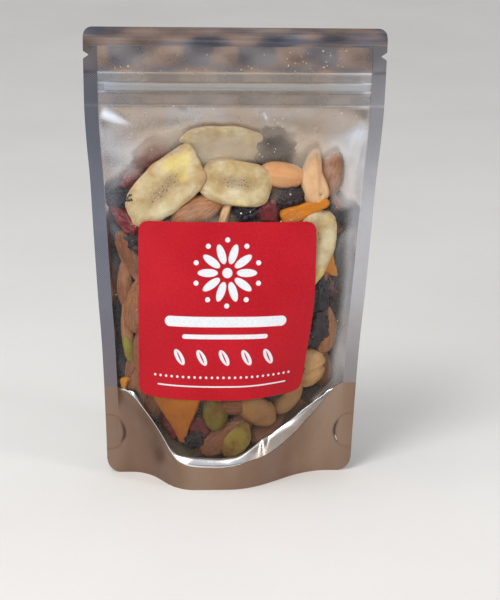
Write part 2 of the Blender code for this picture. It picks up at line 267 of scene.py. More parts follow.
def outward(across, up, front):
    """Distance of the film from the plane of the side seals."""
    most = through(FRONT_BULGE if front else BACK_BULGE, up)
    base = (most + ridge(across, up)) * profile(across, up, front)
    free = 1 - smooth((np.abs(across) - (HALF_FLAT - SIDE_SEAL - 4 * MM)) / (4 * MM))
    above_seal = smooth((up - seal_height(across)) / (3 * MM))
    open_part = free * above_seal * (1 - smooth((up - 168 * MM) / (4 * MM)))
    folds = creases(across, up, FRONT_CREASES if front else BACK_CREASES)
    inner = (HALF_FLAT - SIDE_SEAL - np.abs(across)) / PUCKER_REACH
    wave = np.sin(2 * math.pi * (up + 0.4 * across) / PUCKER_STEP + 2 * np.sin(up / (31 * MM)))
    pucker = PUCKER * wave * np.exp(-np.clip(inner, 0, None)) * (inner > 0) * smooth(inner * 4)
    header = smooth((up - TAPE_HIGH) / (9 * MM))
    rising = np.sin(2 * math.pi * (across + up) / (29 * MM))
    falling = np.sin(2 * math.pi * (across - up) / (26 * MM) + 1.1)
    ripple = 0.18 * MM * header * (rising + falling) * smooth((HEIGHT - up) / (6 * MM))
    flat = WEB_STACK / 2 + tape_relief(across, up) + (ripple if front else -ripple)
    relief = seal_bead(across, up) - spot_relief(across, up)
    return flat + base + folds * open_part + pucker * (up < TAPE_LOW) * (up > seal_height(across)) + relief


def spot_distance(across, up):
    """Distance from the rim of the round weld spot: negative inside it."""
    return np.hypot(np.abs(across) - (HALF_FLAT - SPOT_INSET), up - SPOT_HEIGHT) - SPOT_RADIUS


def spot_relief(across, up):
    """The spot lies a little lower, with a deep groove on the side towards the middle."""
    rim = spot_distance(across, up)
    sunk = 0.25 * MM * (1 - smooth((rim + 0.4 * MM) / (0.5 * MM)))
    inward = smooth((HALF_FLAT - SPOT_INSET - 4 * MM - np.abs(across)) / (3 * MM))
    groove = SPOT_GROOVE * inward * np.exp(-(((rim + 0.7 * MM) / (0.6 * MM)) ** 2))
    return sunk * inward + groove


def seal_bead(across, up):
    """The raised edge of the weld between the front web and the folded bottom."""
    ends = 1 - smooth((np.abs(across) - 54 * MM) / (4 * MM))
    inner = ends * (1 - 0.6 * smooth((across - 4 * MM) / (8 * MM)))
    return SEAL_BEAD * inner * np.exp(-(((up - seal_height(across) + 0.5 * MM) / (0.5 * MM)) ** 2))


def cell(value, low, high, count):
    """Where a value lies among the evenly spaced points of a lookup table."""
    return np.clip((np.asarray(value) - low) / (high - low) * (count - 1), 0, count - 1.001)


class Web:
    """The front or back web: where each place of the flat film lies in space."""

    def __init__(self, front):
        self.front = front
        self.ups = np.linspace(0, HEIGHT, 207)
        self.along = np.linspace(-HALF_FLAT, HALF_FLAT, 525)
        ups, along = self.ups[:, None], self.along[None, :]
        most = through(FRONT_BULGE if front else BACK_BULGE, ups)
        slope = np.gradient(most * profile(along, ups, front), self.along, axis=1)
        run = np.sqrt(np.clip(1 - slope**2, 0.05, 1))
        steps = (run[:, 1:] + run[:, :-1]) / 2 * np.diff(self.along)
        x = np.concatenate([np.zeros((len(self.ups), 1)), np.cumsum(steps, axis=1)], axis=1)
        middle = x[:, -1:] / 2
        self.x = (x - middle) / middle * through(HALF_WIDTHS, ups)
        self.grid_x = np.linspace(-HALF_FLAT, HALF_FLAT, 263)
        y = outward(along, ups, front)
        self.depth = np.array([np.interp(self.grid_x, xs, ys) for xs, ys in zip(self.x, y)])

    def at(self, across, up, lift=0.0):
        """Points (n, 3) of the film, pushed outwards by lift."""
        across, up = np.broadcast_arrays(np.asarray(across, float), np.asarray(up, float))
        row, column = cell(up, 0, HEIGHT, len(self.ups)), cell(across, -HALF_FLAT, HALF_FLAT, len(self.along))
        x = lerp(self.x, row, column)
        away = outward(across, up, self.front) + lift
        y = SEAL_PLANE + (-away if self.front else away)
        return np.stack([x, y, up], axis=-1)

    def depth_at(self, x, z):
        """How far out the film is from the plane of the seals, at points in space."""
        row, column = cell(z, 0, HEIGHT, len(self.ups)), cell(x, -HALF_FLAT, HALF_FLAT, len(self.grid_x))
        return lerp(self.depth, row, column)


def lerp(table, i, j):
    i0, j0 = i.astype(int), j.astype(int)
    u, v = i - i0, j - j0
    top = table[i0, j0] * (1 - v) + table[i0, j0 + 1] * v
    low = table[i0 + 1, j0] * (1 - v) + table[i0 + 1, j0 + 1] * v
    return top * (1 - u) + low * u


FRONT = Web(True)
BACK = Web(False)


def corner_cut(across, radius):
    into = np.clip(np.abs(across) - (HALF_FLAT - radius), 0, radius)
    return radius - np.sqrt(radius**2 - into**2)


def side_edge(up):
    """The web's half width, less at the tear notches."""
    off = np.abs(up - NOTCH_HEIGHT) / NOTCH_HALF
    return HALF_FLAT - NOTCH_DEEP * np.clip(1 - off, 0, 1)


def pocket_top(across):
    a = np.abs(across)
    rise = smooth((a - FLOOR_FLAT) / (POCKET_PEAK - FLOOR_FLAT)) * POCKET_HIGH
    shut = smooth((a - POCKET_PEAK) / (POCKET_END - POCKET_PEAK))
    return rise * (1 - shut)


def graded(places):
    """Values from start to stop for rows of (start, stop, step)."""
    found = []
    for start, stop, step in places:
        count = max(1, round((stop - start) / step))
        found += list(np.linspace(start, stop, count, endpoint=False))
    return np.array(found + [places[-1][1]]) * MM


def web_columns():
    right = graded([(0, 44, 0.9), (44, 58.5, 0.5), (58.5, 60.5, 0.25), (60.5, 65.5, 0.5)])
    return np.concatenate([-right[:0:-1], right])


def web_rows(across):
    """Heights of the rows at each column: they follow the curved seal, then level out up the pouch."""
    low = corner_cut(across, BOTTOM_CORNER)
    high = HEIGHT - corner_cut(across, TOP_CORNER)
    seal = seal_height(across)
    bead_low = seal - 2.1 * MM
    skirt = [low + (bead_low - low) * t for t in np.linspace(0, 1, 50)]
    skirt += [bead_low + s for s in graded([(0.25, 2.1, 0.25)])]
    near = [seal + s for s in graded([(0.3, 1.5, 0.3), (1.5, 9, 0.75)])]
    belly = [near[-1] + (TAPE_LOW - near[-1]) * t for t in np.linspace(0, 1, 130)[1:]]
    header_steps = [
        (171.9, 176.5, 0.4), (176.5, 183, 0.35), (183, 191.4, 0.6), (191.4, 195.6, 0.25), (195.6, 205.5, 0.6),
    ]
    header = [np.full_like(across, up) for up in graded(header_steps)]
    rows = np.array(skirt + near + belly + header)
    return np.minimum(rows, high), len(skirt) - 1


def mesh_object(name, points, faces, materials=(), face_materials=None):
    mesh = bpy.data.meshes.new(name)
    mesh.from_pydata([tuple(p) for p in points], [], [tuple(f) for f in faces])
    for each in materials:
        mesh.materials.append(each)
    if face_materials is not None:
        mesh.polygons.foreach_set("material_index", np.asarray(face_materials, np.int32))
    mesh.validate()
    mesh.shade_smooth()
    obj = bpy.data.objects.new(name, mesh)
    bpy.context.scene.collection.objects.link(obj)
    return obj


def grid_faces(rows, columns, flip=False):
    i, j = np.meshgrid(np.arange(rows - 1), np.arange(columns - 1), indexing="ij")
    a = (i * columns + j).ravel()
    quad = np.stack([a, a + 1, a + columns + 1, a + columns], axis=1)
    return quad[:, ::-1] if flip else quad


def add_field(obj, name, values):
    """Stores one number per point for the materials to read."""
    layer = obj.data.attributes.new(name, "FLOAT", "POINT")
    layer.data.foreach_set("value", np.asarray(values, np.float32))


def add_place(obj, places, name="place"):
    """Stores a place per point, in millimetres or in shares of the piece, for patterns that follow it."""
    layer = obj.data.attributes.new(name, "FLOAT_VECTOR", "POINT")
    layer.data.foreach_set("vector", np.asarray(places, np.float32).ravel())


def weld(obj):
    bm = bmesh.new()
    bm.from_mesh(obj.data)
    bmesh.ops.remove_doubles(bm, verts=bm.verts, dist=WELD_GAP)
    bm.to_mesh(obj.data)
    bm.free()


# Materials
class Nodes:
    """A short way to write node materials."""

    def __init__(self, name):
        self.material = bpy.data.materials.new(name)
        self.material.use_nodes = True
        self.tree = self.material.node_tree
        self.tree.nodes.clear()
        self.output = self.add("ShaderNodeOutputMaterial")

    def add(self, kind, inputs=(), **settings):
        node = self.tree.nodes.new(kind)
        for key, value in settings.items():
            setattr(node, key, value)
        for key, value in dict(inputs).items():
            socket = node.inputs[key]
            if isinstance(value, bpy.types.NodeSocket):
                self.tree.links.new(value, socket)
            else:
                socket.default_value = value
        return node

    def math(self, operation, a, b=0.0, c=0.0, clamp=False):
        return self.add("ShaderNodeMath", {0: a, 1: b, 2: c}, operation=operation, use_clamp=clamp).outputs[0]

    def plus(self, a, b):
        return self.math("ADD", a, b)

    def minus(self, a, b, clamp=False):
        return self.math("SUBTRACT", a, b, clamp=clamp)

    def times(self, a, b):
        return self.math("MULTIPLY", a, b)

    def most(self, a, b, clamp=False):
        return self.math("MAXIMUM", a, b, clamp=clamp)

    def reach(self, a, b):
        """Distance from the middle of a flat place."""
        return self.math("SQRT", self.plus(self.times(a, a), self.times(b, b)))

    def ramp(self, value, stops):
        node = self.add("ShaderNodeValToRGB", {"Fac": value})
        node.color_ramp.interpolation = "EASE"
        elements = node.color_ramp.elements
        while len(elements) > 1:
            elements.remove(elements[-1])
        for k, (position, colour) in enumerate(stops):
            element = elements[0] if k == 0 else elements.new(position)
            element.position = position
            element.color = (*colour, 1)
        return node.outputs["Color"]

    def grey(self, value, low, high, at_low=0.0, at_high=1.0):
        """A number that goes from at_low to at_high while value goes from low to high."""
        ends = {"From Min": low, "From Max": high, "To Min": at_low, "To Max": at_high}
        return self.add("ShaderNodeMapRange", {"Value": value, **ends}).outputs["Result"]

    def mix(self, fac, a, b, blend="MIX"):
        node = self.add("ShaderNodeMix", data_type="RGBA", blend_type=blend)
        self.put(node.inputs["Factor"], fac)
        self.put(node.inputs["A"], a)
        self.put(node.inputs["B"], b)
        return node.outputs["Result"]

    def put(self, socket, value):
        if isinstance(value, bpy.types.NodeSocket):
            self.tree.links.new(value, socket)
        elif hasattr(socket.default_value, "__len__") and len(value) == 3:
            socket.default_value = (*value, 1)
        else:
            socket.default_value = value

    def noise(self, vector, scale, detail=3.0, rough=0.5):
        inputs = {"Vector": vector, "Scale": scale, "Detail": detail, "Roughness": rough}
        return self.add("ShaderNodeTexNoise", inputs).outputs["Fac"]

    def place(self, name="place"):
        """The point's place on its own piece, in millimetres or in shares of its size."""
        return self.add("ShaderNodeAttribute", attribute_name=name).outputs["Vector"]

    def field(self, name):
        return self.add("ShaderNodeAttribute", attribute_name=name).outputs["Fac"]

    def object_place(self, scale=(1000, 1000, 1000)):
        """The point's place on the whole object, in millimetres."""
        at = self.add("ShaderNodeTexCoord").outputs["Object"]
        return self.add("ShaderNodeVectorMath", {0: at, 1: scale}, operation="MULTIPLY").outputs[0]

    def stretch(self, vector, scale):
        return self.add("ShaderNodeVectorMath", {0: vector, 1: scale}, operation="MULTIPLY").outputs[0]

    def parts(self, vector):
        return self.add("ShaderNodeSeparateXYZ", {"Vector": vector}).outputs

    def bump(self, height, distance, strength):
        inputs = {"Height": height, "Distance": distance, "Strength": strength}
        return self.add("ShaderNodeBump", inputs).outputs["Normal"]

    def surface(self, colour, roughness, normal=None, **more):
        node = self.add("ShaderNodeBsdfPrincipled")
        self.put(node.inputs["Base Color"], colour)
        self.put(node.inputs["Roughness"], roughness)
        if normal is not None:
            self.tree.links.new(normal, node.inputs["Normal"])
        for key, value in more.items():
            self.put(node.inputs[key.replace("_", " ")], value)
        return node.outputs["BSDF"]

    def finish(self, shader):
        self.tree.links.new(shader, self.output.inputs["Surface"])
        return self.material


def clear_film():
    """Clear plastic that only shows by its gloss, a haze where nothing touches it, and salt-like specks; the
    haze's colour by side is painted reflection, and pale streaks along some folds are painted highlights.
    """
    n = Nodes("clear_film")
    at = n.object_place()
    normal = n.bump(n.noise(at, 0.16, 3.0, 0.5), 0.00012, 0.5)
    facing = n.add("ShaderNodeLayerWeight", {"Blend": 0.35, "Normal": normal}).outputs["Facing"]
    side = n.parts(at)[0]
    gloss_share = n.math("MULTIPLY_ADD", n.math("POWER", facing, 3.2), 0.48, 0.013, clamp=True)
    clear = n.add("ShaderNodeBsdfTransparent", {"Color": (0.975, 0.975, 0.98, 1)}).outputs[0]
    mirror = {"Color": (1, 1, 1, 1), "Roughness": 0.2, "Normal": normal}
    gloss = n.add("ShaderNodeBsdfGlossy", mirror).outputs[0]
    gloss_share = n.times(gloss_share, n.grey(side, -60, -38, 0.45, 1.0))
    # Painted reflection: the haze is bluish at the left, brown in the middle and pale at the right.
    painted_reflection_tint = n.mix(n.grey(side, -58, -38), (0.56, 0.62, 0.72), (0.55, 0.445, 0.34))
    veil = n.mix(n.grey(side, 36, 56), painted_reflection_tint, (0.80, 0.81, 0.85))
    painted_glint = n.field("painted_glint")
    # Painted highlight: along the folds the haze turns bluish white.
    veil = n.mix(n.grey(painted_glint, 0.0, 0.3), veil, (0.80, 0.85, 0.92))
    haze = n.add("ShaderNodeBsdfDiffuse", {"Color": veil}).outputs[0]
    dots = n.add("ShaderNodeTexVoronoi", {"Vector": at, "Scale": 0.42}, feature="F1").outputs
    tiny = n.grey(dots["Distance"], 0.05, 0.10, 1.0, 0.0)
    few = n.grey(n.parts(dots["Color"])[0], 0.70, 0.72)
    where = n.grey(n.noise(at, 0.03, 1.0), 0.42, 0.58)
    speck = n.times(n.times(tiny, few), where)
    cloud = n.grey(n.noise(at, 0.045, 4.0), 0.3, 0.75, 0.7, 1.25)
    base = n.most(n.times(n.field("haze"), cloud), painted_glint)
    haze_share = n.most(base, n.times(speck, 0.6), clamp=True)
    body = n.add("ShaderNodeMixShader", {0: haze_share, 1: clear, 2: haze}).outputs[0]
    return n.finish(n.add("ShaderNodeMixShader", {0: gloss_share, 1: body, 2: gloss}).outputs[0])


def foil(name, dark, light, rough, cloud_scale=0.03, painted_streaks=0.0, hatch=0.0, tint=None):
    """Metallised film: cloudy light and dark patches and faint lighter upright streaks, which stand in for
    its blurred reflections as painted reflection, and, where it is sealed, a woven hatch.
    """
    n = Nodes(name)
    at = n.object_place()
    part = n.parts(at)
    x, z = part[0], part[2]
    # Painted reflection: cloudy light and dark patches.
    cloud = n.grey(n.noise(at, cloud_scale, 2.0), 0.32, 0.68)
    colour = n.mix(cloud, dark, light)
    if tint is not None:
        colour = tint(n, at, colour)
    # Painted reflection: faint lighter upright streaks.
    streak = n.noise(n.stretch(at, (0.07, 0.07, 0.012)), 1.0, 1.0, 0.5)
    fine = n.noise(at, 0.35, 2.0)
    colour = n.mix(n.grey(streak, 0.35, 0.65, 0.0, painted_streaks), colour, n.mix(0.45, colour, (1, 0.97, 0.93)))
    colour = n.mix(n.grey(fine, 0.35, 0.65, 0.0, 0.05), colour, (0.10, 0.09, 0.09))
    normal = n.bump(n.noise(at, 0.09, 2.0), 0.0003, 0.4)
    if hatch > 0:
        slope = n.plus(z, n.times(n.math("ABSOLUTE", x), 0.9))
        lines = n.math("SINE", n.times(slope, 2 * math.pi / HATCH_PITCH))
        colour = n.mix(n.grey(lines, -0.6, 0.8, 0.0, hatch), colour, (0.92, 0.93, 0.96))
    wear = n.grey(n.noise(at, 0.12, 2.0), 0.35, 0.65, rough * 0.85, rough * 1.15)
    # Painted shade: darker in the grooves of the weld spots.
    colour = n.mix(n.field("groove_shade"), colour, (0.03, 0.025, 0.025))
    return n.finish(n.surface(colour, wear, normal, Metallic=0.95))


def header_painted_reflections(n, at, colour):
    """Crossing brown and blue-grey waves on the header and mottled brown and blue-grey below the zip, both
    painted reflection; a darker wavy band at the zip's tape.
    """
    part = n.parts(at)
    x, z = part[0], part[2]
    bent = n.times(n.noise(at, 0.05, 1.0), 5.0)
    lean = n.times(z, 1.1)
    one = n.math("SINE", n.plus(n.times(n.plus(x, lean), 0.235), bent))
    two = n.math("SINE", n.plus(n.times(n.minus(x, lean), 0.235), bent))
    wave = n.grey(n.plus(one, two), -0.55, 0.75)
    waves = n.mix(wave, (0.225, 0.205, 0.22), (0.42, 0.295, 0.235))
    in_header = n.grey(z, TAPE_HIGH / MM - 0.5, TAPE_HIGH / MM + 0.5)
    in_tape = n.times(n.grey(z, TAPE_LOW / MM - 0.3, TAPE_LOW / MM + 0.3), 0.7)
    band = n.mix(n.grey(wave, 0.2, 0.8), (0.17, 0.15, 0.16), (0.30, 0.24, 0.22))
    brown = n.mix(0.7, colour, (0.49, 0.385, 0.30))
    blue = n.mix(0.6, colour, (0.50, 0.505, 0.53))
    low = n.mix(n.grey(n.noise(at, 0.045, 3.0, 0.6), 0.42, 0.62), brown, blue)
    return n.mix(in_header, n.mix(in_tape, low, band), waves)


def back_foil():
    return foil("back_foil", (0.46, 0.41, 0.375), (0.64, 0.57, 0.51), 0.25, painted_streaks=0.2, tint=header_painted_reflections)


def gusset_painted_bands(n, at, colour):
    """Soft upright bands of painted light and shade, as curved foil would show."""
    x = n.parts(at)[0]
    bent = n.times(n.noise(at, 0.03, 1.0), 2.2)
    wave = n.math("COSINE", n.plus(n.times(x, 0.112), bent))
    dark = n.mix(0.5, colour, (0.19, 0.092, 0.052))
    light = n.mix(0.6, colour, (0.42, 0.285, 0.20))
    return n.mix(n.grey(wave, -1, 1, 0.0, 0.75), dark, light)


def gusset_foil():
    # The brown stands in for a brown table that the silver foil reflects: painted reflection.
    dark, light = (0.20, 0.125, 0.085), (0.31, 0.21, 0.150)
    return foil("gusset_foil", dark, light, 0.36, cloud_scale=0.020, painted_streaks=0.12, tint=gusset_painted_bands)


# Colours up the side seals, as painted reflection: (share of the way up, colour)
LEFT_SEAL = [
    (0.0, (0.145, 0.105, 0.12)), (0.45, (0.11, 0.125, 0.18)),
    (0.8, (0.06, 0.07, 0.105)), (1.0, (0.13, 0.085, 0.075)),
]
RIGHT_SEAL = [
    (0.0, (0.26, 0.22, 0.215)), (0.5, (0.66, 0.66, 0.69)),
    (0.8, (0.34, 0.34, 0.37)), (1.0, (0.14, 0.115, 0.115)),
]


def side_painted_reflection(n, at, colour):
    """Painted reflection: the left seal is bluish and darker; the right one paler, and warmer towards its
    foot.
    """
    part = n.parts(at)
    x, z = part[0], part[2]
    upwards = n.grey(z, 30, 205)
    seals = n.mix(n.grey(x, -1, 1), n.ramp(upwards, LEFT_SEAL), n.ramp(upwards, RIGHT_SEAL))
    return n.mix(0.8, colour, seals)


def sealed_foil():
    return foil("sealed_foil", (0.16, 0.16, 0.20), (0.42, 0.42, 0.46), 0.32, hatch=0.13, tint=side_painted_reflection)


def top_painted_reflection(n, at, colour):
    """Painted reflection: brown metal with long blue-grey patches and paler streaks along the top seal."""
    long_patch = n.noise(n.stretch(at, (0.035, 0.2, 0.20)), 1.0, 2.0, 0.6)
    streak = n.noise(n.stretch(at, (0.02, 0.2, 0.9)), 1.0, 2.0)
    base = n.mix(n.grey(long_patch, 0.42, 0.58), (0.31, 0.215, 0.18), (0.12, 0.13, 0.175))
    return n.mix(n.grey(streak, 0.5, 0.7, 0, 0.4), base, (0.46, 0.42, 0.42))


def top_seal_foil():
    return foil("top_seal_foil", (0.17, 0.185, 0.25), (0.38, 0.31, 0.29), 0.24, painted_streaks=0.1, tint=top_painted_reflection)


# Painted highlight: bright foil on a thin strip under the curved seal, where the film's sharp bend catches
# the light.
def seal_edge_highlight_foil():
    return foil("seal_edge_highlight_foil", (0.60, 0.59, 0.58), (0.90, 0.90, 0.91), 0.24, cloud_scale=0.08)


def wall_painted_reflection(n, at, colour):
    """Painted reflection: the upright part of the roll faces forwards and is painted browner than its top."""
    brown = n.mix(n.grey(n.noise(at, 0.06, 2.0), 0.35, 0.65), (0.21, 0.145, 0.105), (0.33, 0.245, 0.19))
    return n.mix(n.times(n.field("wall"), 0.93), colour, brown)


def inner_foil():
    dark, light = (0.66, 0.65, 0.64), (0.92, 0.92, 0.93)
    return foil("inner_foil", dark, light, 0.22, cloud_scale=0.07, painted_streaks=0.4, tint=wall_painted_reflection)


def zip_plastic():
    n = Nodes("zip_plastic")
    at = n.object_place()
    streak = n.noise(n.stretch(at, (0.02, 1, 2.2)), 1.0, 3.0)
    colour = n.mix(n.grey(streak, 0.3, 0.7), (0.19, 0.192, 0.20), (0.29, 0.295, 0.305))
    normal = n.bump(streak, 0.0003, 0.5)
    return n.finish(n.surface(colour, 0.3, normal))


# The pouch
def web_places():
    """Places (across, up) of a web's points, and the row at the curved seal."""
    across = web_columns()
    rows, seal_row = web_rows(across)
    a = np.broadcast_to(across, rows.shape)
    return np.sign(a) * np.minimum(np.abs(a), side_edge(rows)), rows, seal_row


def build_front(materials, contents):
    a, rows, seal_row = web_places()
    points = FRONT.at(a, rows).reshape(-1, 3)
    faces = grid_faces(rows.shape[0], rows.shape[1])
    middle_a = np.abs(a).reshape(-1)[faces].mean(axis=1)
    right_a = a.reshape(-1)[faces].mean(axis=1)
    edge_highlight_rows = 4 * (1 - smooth((right_a + 2 * MM) / (14 * MM))) * (middle_a < 56 * MM)
    middle_up = rows.reshape(-1)[faces].mean(axis=1)
    row_of = faces[:, 0] // rows.shape[1]
    kind = np.zeros(len(faces), int)
    kind[middle_a > HALF_FLAT - SIDE_SEAL] = 2
    kind[middle_up > TOP_SEAL] = 3
    kind[row_of < seal_row] = 1
    # A thin strip of bright foil under the curved seal, on its left part: painted highlight.
    kind[(row_of < seal_row) & (seal_row - row_of <= edge_highlight_rows)] = 4
    obj = mesh_object("front_web", points, faces, materials, kind)
    add_field(obj, "groove_shade", spot_groove_shade(a, rows).ravel())
    add_field(obj, "haze", haze_field(a, rows, contents).ravel())
    add_field(obj, "painted_glint", painted_glint_field(a, rows).ravel())
    return obj


def spot_groove_shade(across, up):
    """A dark crescent of painted shade in the groove of each weld spot, and a faint dark line on the rim
    towards the edge.
    """
    rim = spot_distance(across, up)
    inward = smooth((HALF_FLAT - SPOT_INSET - 4.5 * MM - np.abs(across)) / (3 * MM))
    crescent = 0.9 * inward * np.exp(-(((rim + 0.9 * MM) / (0.75 * MM)) ** 2))
    return crescent + 0.3 * (1 - inward) * np.exp(-((rim / (0.35 * MM)) ** 2))


def build_back(material):
    a, rows, _ = web_places()
    points = BACK.at(a, rows).reshape(-1, 3)
    faces = grid_faces(rows.shape[0], rows.shape[1], flip=True)
    return mesh_object("back_web", points, faces, [material])


def gusset_top(across, seal):
    """Height of the fold that runs from side to side under the pouch."""
    open_share = 1 - smooth((np.abs(across) - POCKET_PEAK) / (POCKET_END - POCKET_PEAK))
    return np.maximum(pocket_top(across), 0) * open_share + seal * (1 - open_share)


def gusset_rise(share):
    """How far up the seal the bottom is, for a share of the way from front to back."""
    return smooth((np.abs(2 * share - 1) - 0.35) / 0.65) ** 1.1


def roll_bend(share):
    """The roll's rise from 0 to 1: steep behind the film, then bending over."""
    return 1 - (1 - np.clip(share / ROLL_SHARE, 0, 1)) ** 2


def roll_wall(across, share):
    """1 on the upright part of the roll, on the right only."""
    right = smooth((across - 6 * MM) / (7 * MM)) * (1 - smooth((across - 50 * MM) / (6 * MM)))
    return right * (1 - smooth((roll_bend(share) - 0.55) / 0.2)) * np.ones_like(across)


def gusset_roll(across, share, drop):
    """The bottom foil swells up just behind the front seal, most on the right."""
    lost = (1 - gusset_rise(ROLL_SHARE)) * drop * smooth((56 * MM - np.abs(across)) / (12 * MM))
    return (through(ROLL, across) + lost) * roll_bend(share) * (1 - smooth((share - 0.17) / 0.22))


def build_gusset(material):
    """The folded bottom: from the front seal down to the floor, up again and back to the rear seal."""
    across = np.linspace(-GUSSET_HALF, GUSSET_HALF, 2 * GUSSET_HALF + 1) * MM
    seal = seal_height(across)
    front = FRONT.at(across, seal, -SHEET_GAP)
    back = BACK.at(across, seal, -SHEET_GAP)
    top = gusset_top(across, seal)
    facet = np.exp(-(((across - FACET_ACROSS) / (1.5 * MM)) ** 2))
    beside = np.exp(-(((across - FACET_ACROSS + 3 * MM) / MM) ** 2))
    pinch = np.clip(facet - 0.6 * beside, 0, 1) * FACET_DEEP
    shares = np.concatenate([np.linspace(0, 0.2, 13)[:-1], np.linspace(0.2, 1, 33)])
    rows, walls = [], []
    for share in shares:
        level = top + (seal - top) * gusset_rise(share) + gusset_roll(across, share, seal - top)
        crinkle = np.array([noise.noise(Vector((x * 140, share * 9, 3.1))) for x in across])
        crinkle = crinkle * 0.6 * MM * smooth((share - 0.18) / 0.2) * (1 - smooth((share - 0.8) / 0.2))
        z = level + crinkle * (top > 2 * MM)
        x = front[:, 0] * (1 - share) + back[:, 0] * share
        y = front[:, 1] * (1 - share) + back[:, 1] * share
        y = np.maximum(y, SEAL_PLANE - FRONT.depth_at(x, z) + SHEET_GAP)
        y = y + pinch * roll_bend(share) * (1 - smooth((share - 0.05) / 0.05))
        walls.append(roll_wall(across, share))
        rows.append(np.stack([x, y, np.maximum(z, 0.05 * MM)], axis=1))
    points = np.concatenate(rows)
    obj = mesh_object("gusset", points, grid_faces(len(shares), len(across)), [material])
    add_field(obj, "wall", np.concatenate(walls))
    return obj


def build_label(material):
    """A printed paper square that follows the film."""
    shares = np.linspace(-1, 1, 81)
    ups = np.concatenate([
        np.linspace(0, LABEL_CORNER, 9)[:-1],
        np.linspace(LABEL_CORNER, LABEL_HEIGHT - LABEL_CORNER, 61),
        np.linspace(LABEL_HEIGHT - LABEL_CORNER, LABEL_HEIGHT, 9)[1:],
    ]) + LABEL_UP - LABEL_HEIGHT / 2
    off = LABEL_HEIGHT / 2 - np.abs(ups - LABEL_UP)
    inner = np.clip(LABEL_CORNER - off, 0, LABEL_CORNER)
    half = LABEL_WIDTH / 2 - LABEL_CORNER + np.sqrt(LABEL_CORNER**2 - inner**2)
    a = LABEL_ACROSS + half[:, None] * shares[None, :]
    up = np.broadcast_to(ups[:, None], a.shape)
    outer = FRONT.at(a, up, 0.32 * MM).reshape(-1, 3)
    under = FRONT.at(a, up, 0.14 * MM).reshape(-1, 3)
    count = len(outer)
    faces = [tuple(f) for f in grid_faces(len(ups), len(shares))]
    faces += [tuple(f + count) for f in grid_faces(len(ups), len(shares), flip=True)]
    wide, tall = len(shares), len(ups)
    rim = list(range(wide)) + [k * wide + wide - 1 for k in range(1, tall)]
    rim += list(range(count - 2, count - wide - 1, -1)) + [k * wide for k in range(tall - 2, 0, -1)]
    for one, two in zip(rim, rim[1:] + rim[:1]):
        faces.append((one, one + count, two + count, two))
    obj = mesh_object("label_sheet", np.concatenate([outer, under]), faces, [material])
    flat = np.stack([(a - LABEL_ACROSS) / MM, (up - LABEL_UP) / MM, np.zeros_like(a)], axis=-1).reshape(-1, 3)
    add_place(obj, np.concatenate([flat, flat]))
    obj.data.set_sharp_from_angle(angle=math.radians(50))
    return obj


def ellipse(n, x, y, half_x, half_y):
    """1 inside an ellipse, with an edge as sharp as print."""
    u, v = n.math("DIVIDE", x, half_x), n.math("DIVIDE", y, half_y)
    reach = n.reach(u, v)
    soft = 0.10 / min(half_x, half_y)
    return n.grey(reach, 1 - soft, 1 + soft, 1.0, 0.0)


def bar(n, x, y, half_x, half_y):
    """1 inside a bar with round ends."""
    past = n.most(n.minus(n.math("ABSOLUTE", x), half_x - half_y), 0.0)
    reach = n.reach(past, y)
    return n.grey(reach, half_y - 0.10, half_y + 0.10, 1.0, 0.0)


def repeated(n, x, pitch):
    """Distance from the middle of the nearest of many equal steps."""
    step = n.math("FRACT", n.plus(n.math("DIVIDE", x, pitch), 0.5))
    return n.times(n.minus(step, 0.5), pitch)


def rosette(n, x, y, petals, middle, half_long, half_wide, turn=0.0):
    """A ring of petals around a point."""
    reach = n.reach(x, y)
    step = 2 * math.pi / petals
    angle = repeated(n, n.plus(n.math("ARCTAN2", y, x), turn), step)
    side = n.times(n.math("SINE", angle), reach)
    return ellipse(n, n.minus(reach, middle), side, half_long, half_wide)


def label_print(n, at):
    """White print: a rosette of petals, bars, a row of kernels and fine rules."""
    part = n.parts(at)
    x, y = part[0], part[1]

    def up(height):
        return n.minus(y, height)

    shapes = [
        rosette(n, x, up(17.5), 10, 8.6, 4.4, 1.75),
        rosette(n, x, up(17.5), 10, 14.4, 1.1, 1.1, turn=math.pi / 10),
        ellipse(n, x, up(17.5), 2.2, 2.2),
        bar(n, x, up(-4.0), 27.0, 2.3),
        bar(n, x, up(-10.6), 19.0, 1.0),
    ]
    tilt = n.times(up(-20.0), 0.45)
    kernel_x_from_middle = n.plus(x, tilt)
    inside_row = n.grey(n.math("ABSOLUTE", kernel_x_from_middle), 25.0, 25.05, 1.0, 0.0)
    kernel_x = repeated(n, kernel_x_from_middle, 10.0)
    kernels = ellipse(n, kernel_x, up(-20.0), 1.9, 3.5)
    slit = ellipse(n, kernel_x, up(-20.0), 0.35, 2.5)
    shapes.append(n.times(n.minus(kernels, slit, clamp=True), inside_row))
    dots = ellipse(n, repeated(n, x, 2.6), up(-29.0), 0.55, 0.55)
    shapes.append(n.times(dots, n.grey(n.math("ABSOLUTE", x), 32.4, 32.5, 1.0, 0.0)))
    shapes.append(bar(n, x, up(-33.2), 30.0, 0.32))
    total = shapes[0]
    for each in shapes[1:]:
        total = n.most(total, each)
    return total


def label_paper():
    n = Nodes("label_paper")
    at = n.place()
    fibre = n.noise(at, 0.9, 4.0)
    cloud = n.grey(n.noise(at, 0.03, 2.0), 0.3, 0.7)
    red = n.mix(cloud, (0.37, 0.004, 0.011), (0.45, 0.008, 0.017))
    red = n.mix(n.grey(fibre, 0.4, 0.7, 0, 0.12), red, (0.62, 0.05, 0.06))
    worn = n.times(label_print(n, at), n.grey(fibre, 0.35, 0.5, 0.86, 0.98))
    colour = n.mix(worn, red, (0.70, 0.72, 0.73))
    rough = n.grey(fibre, 0.3, 0.7, 0.42, 0.55)
    normal = n.bump(fibre, 0.00008, 0.4)
    return n.finish(n.surface(colour, rough, normal, Specular_IOR_Level=0.12))


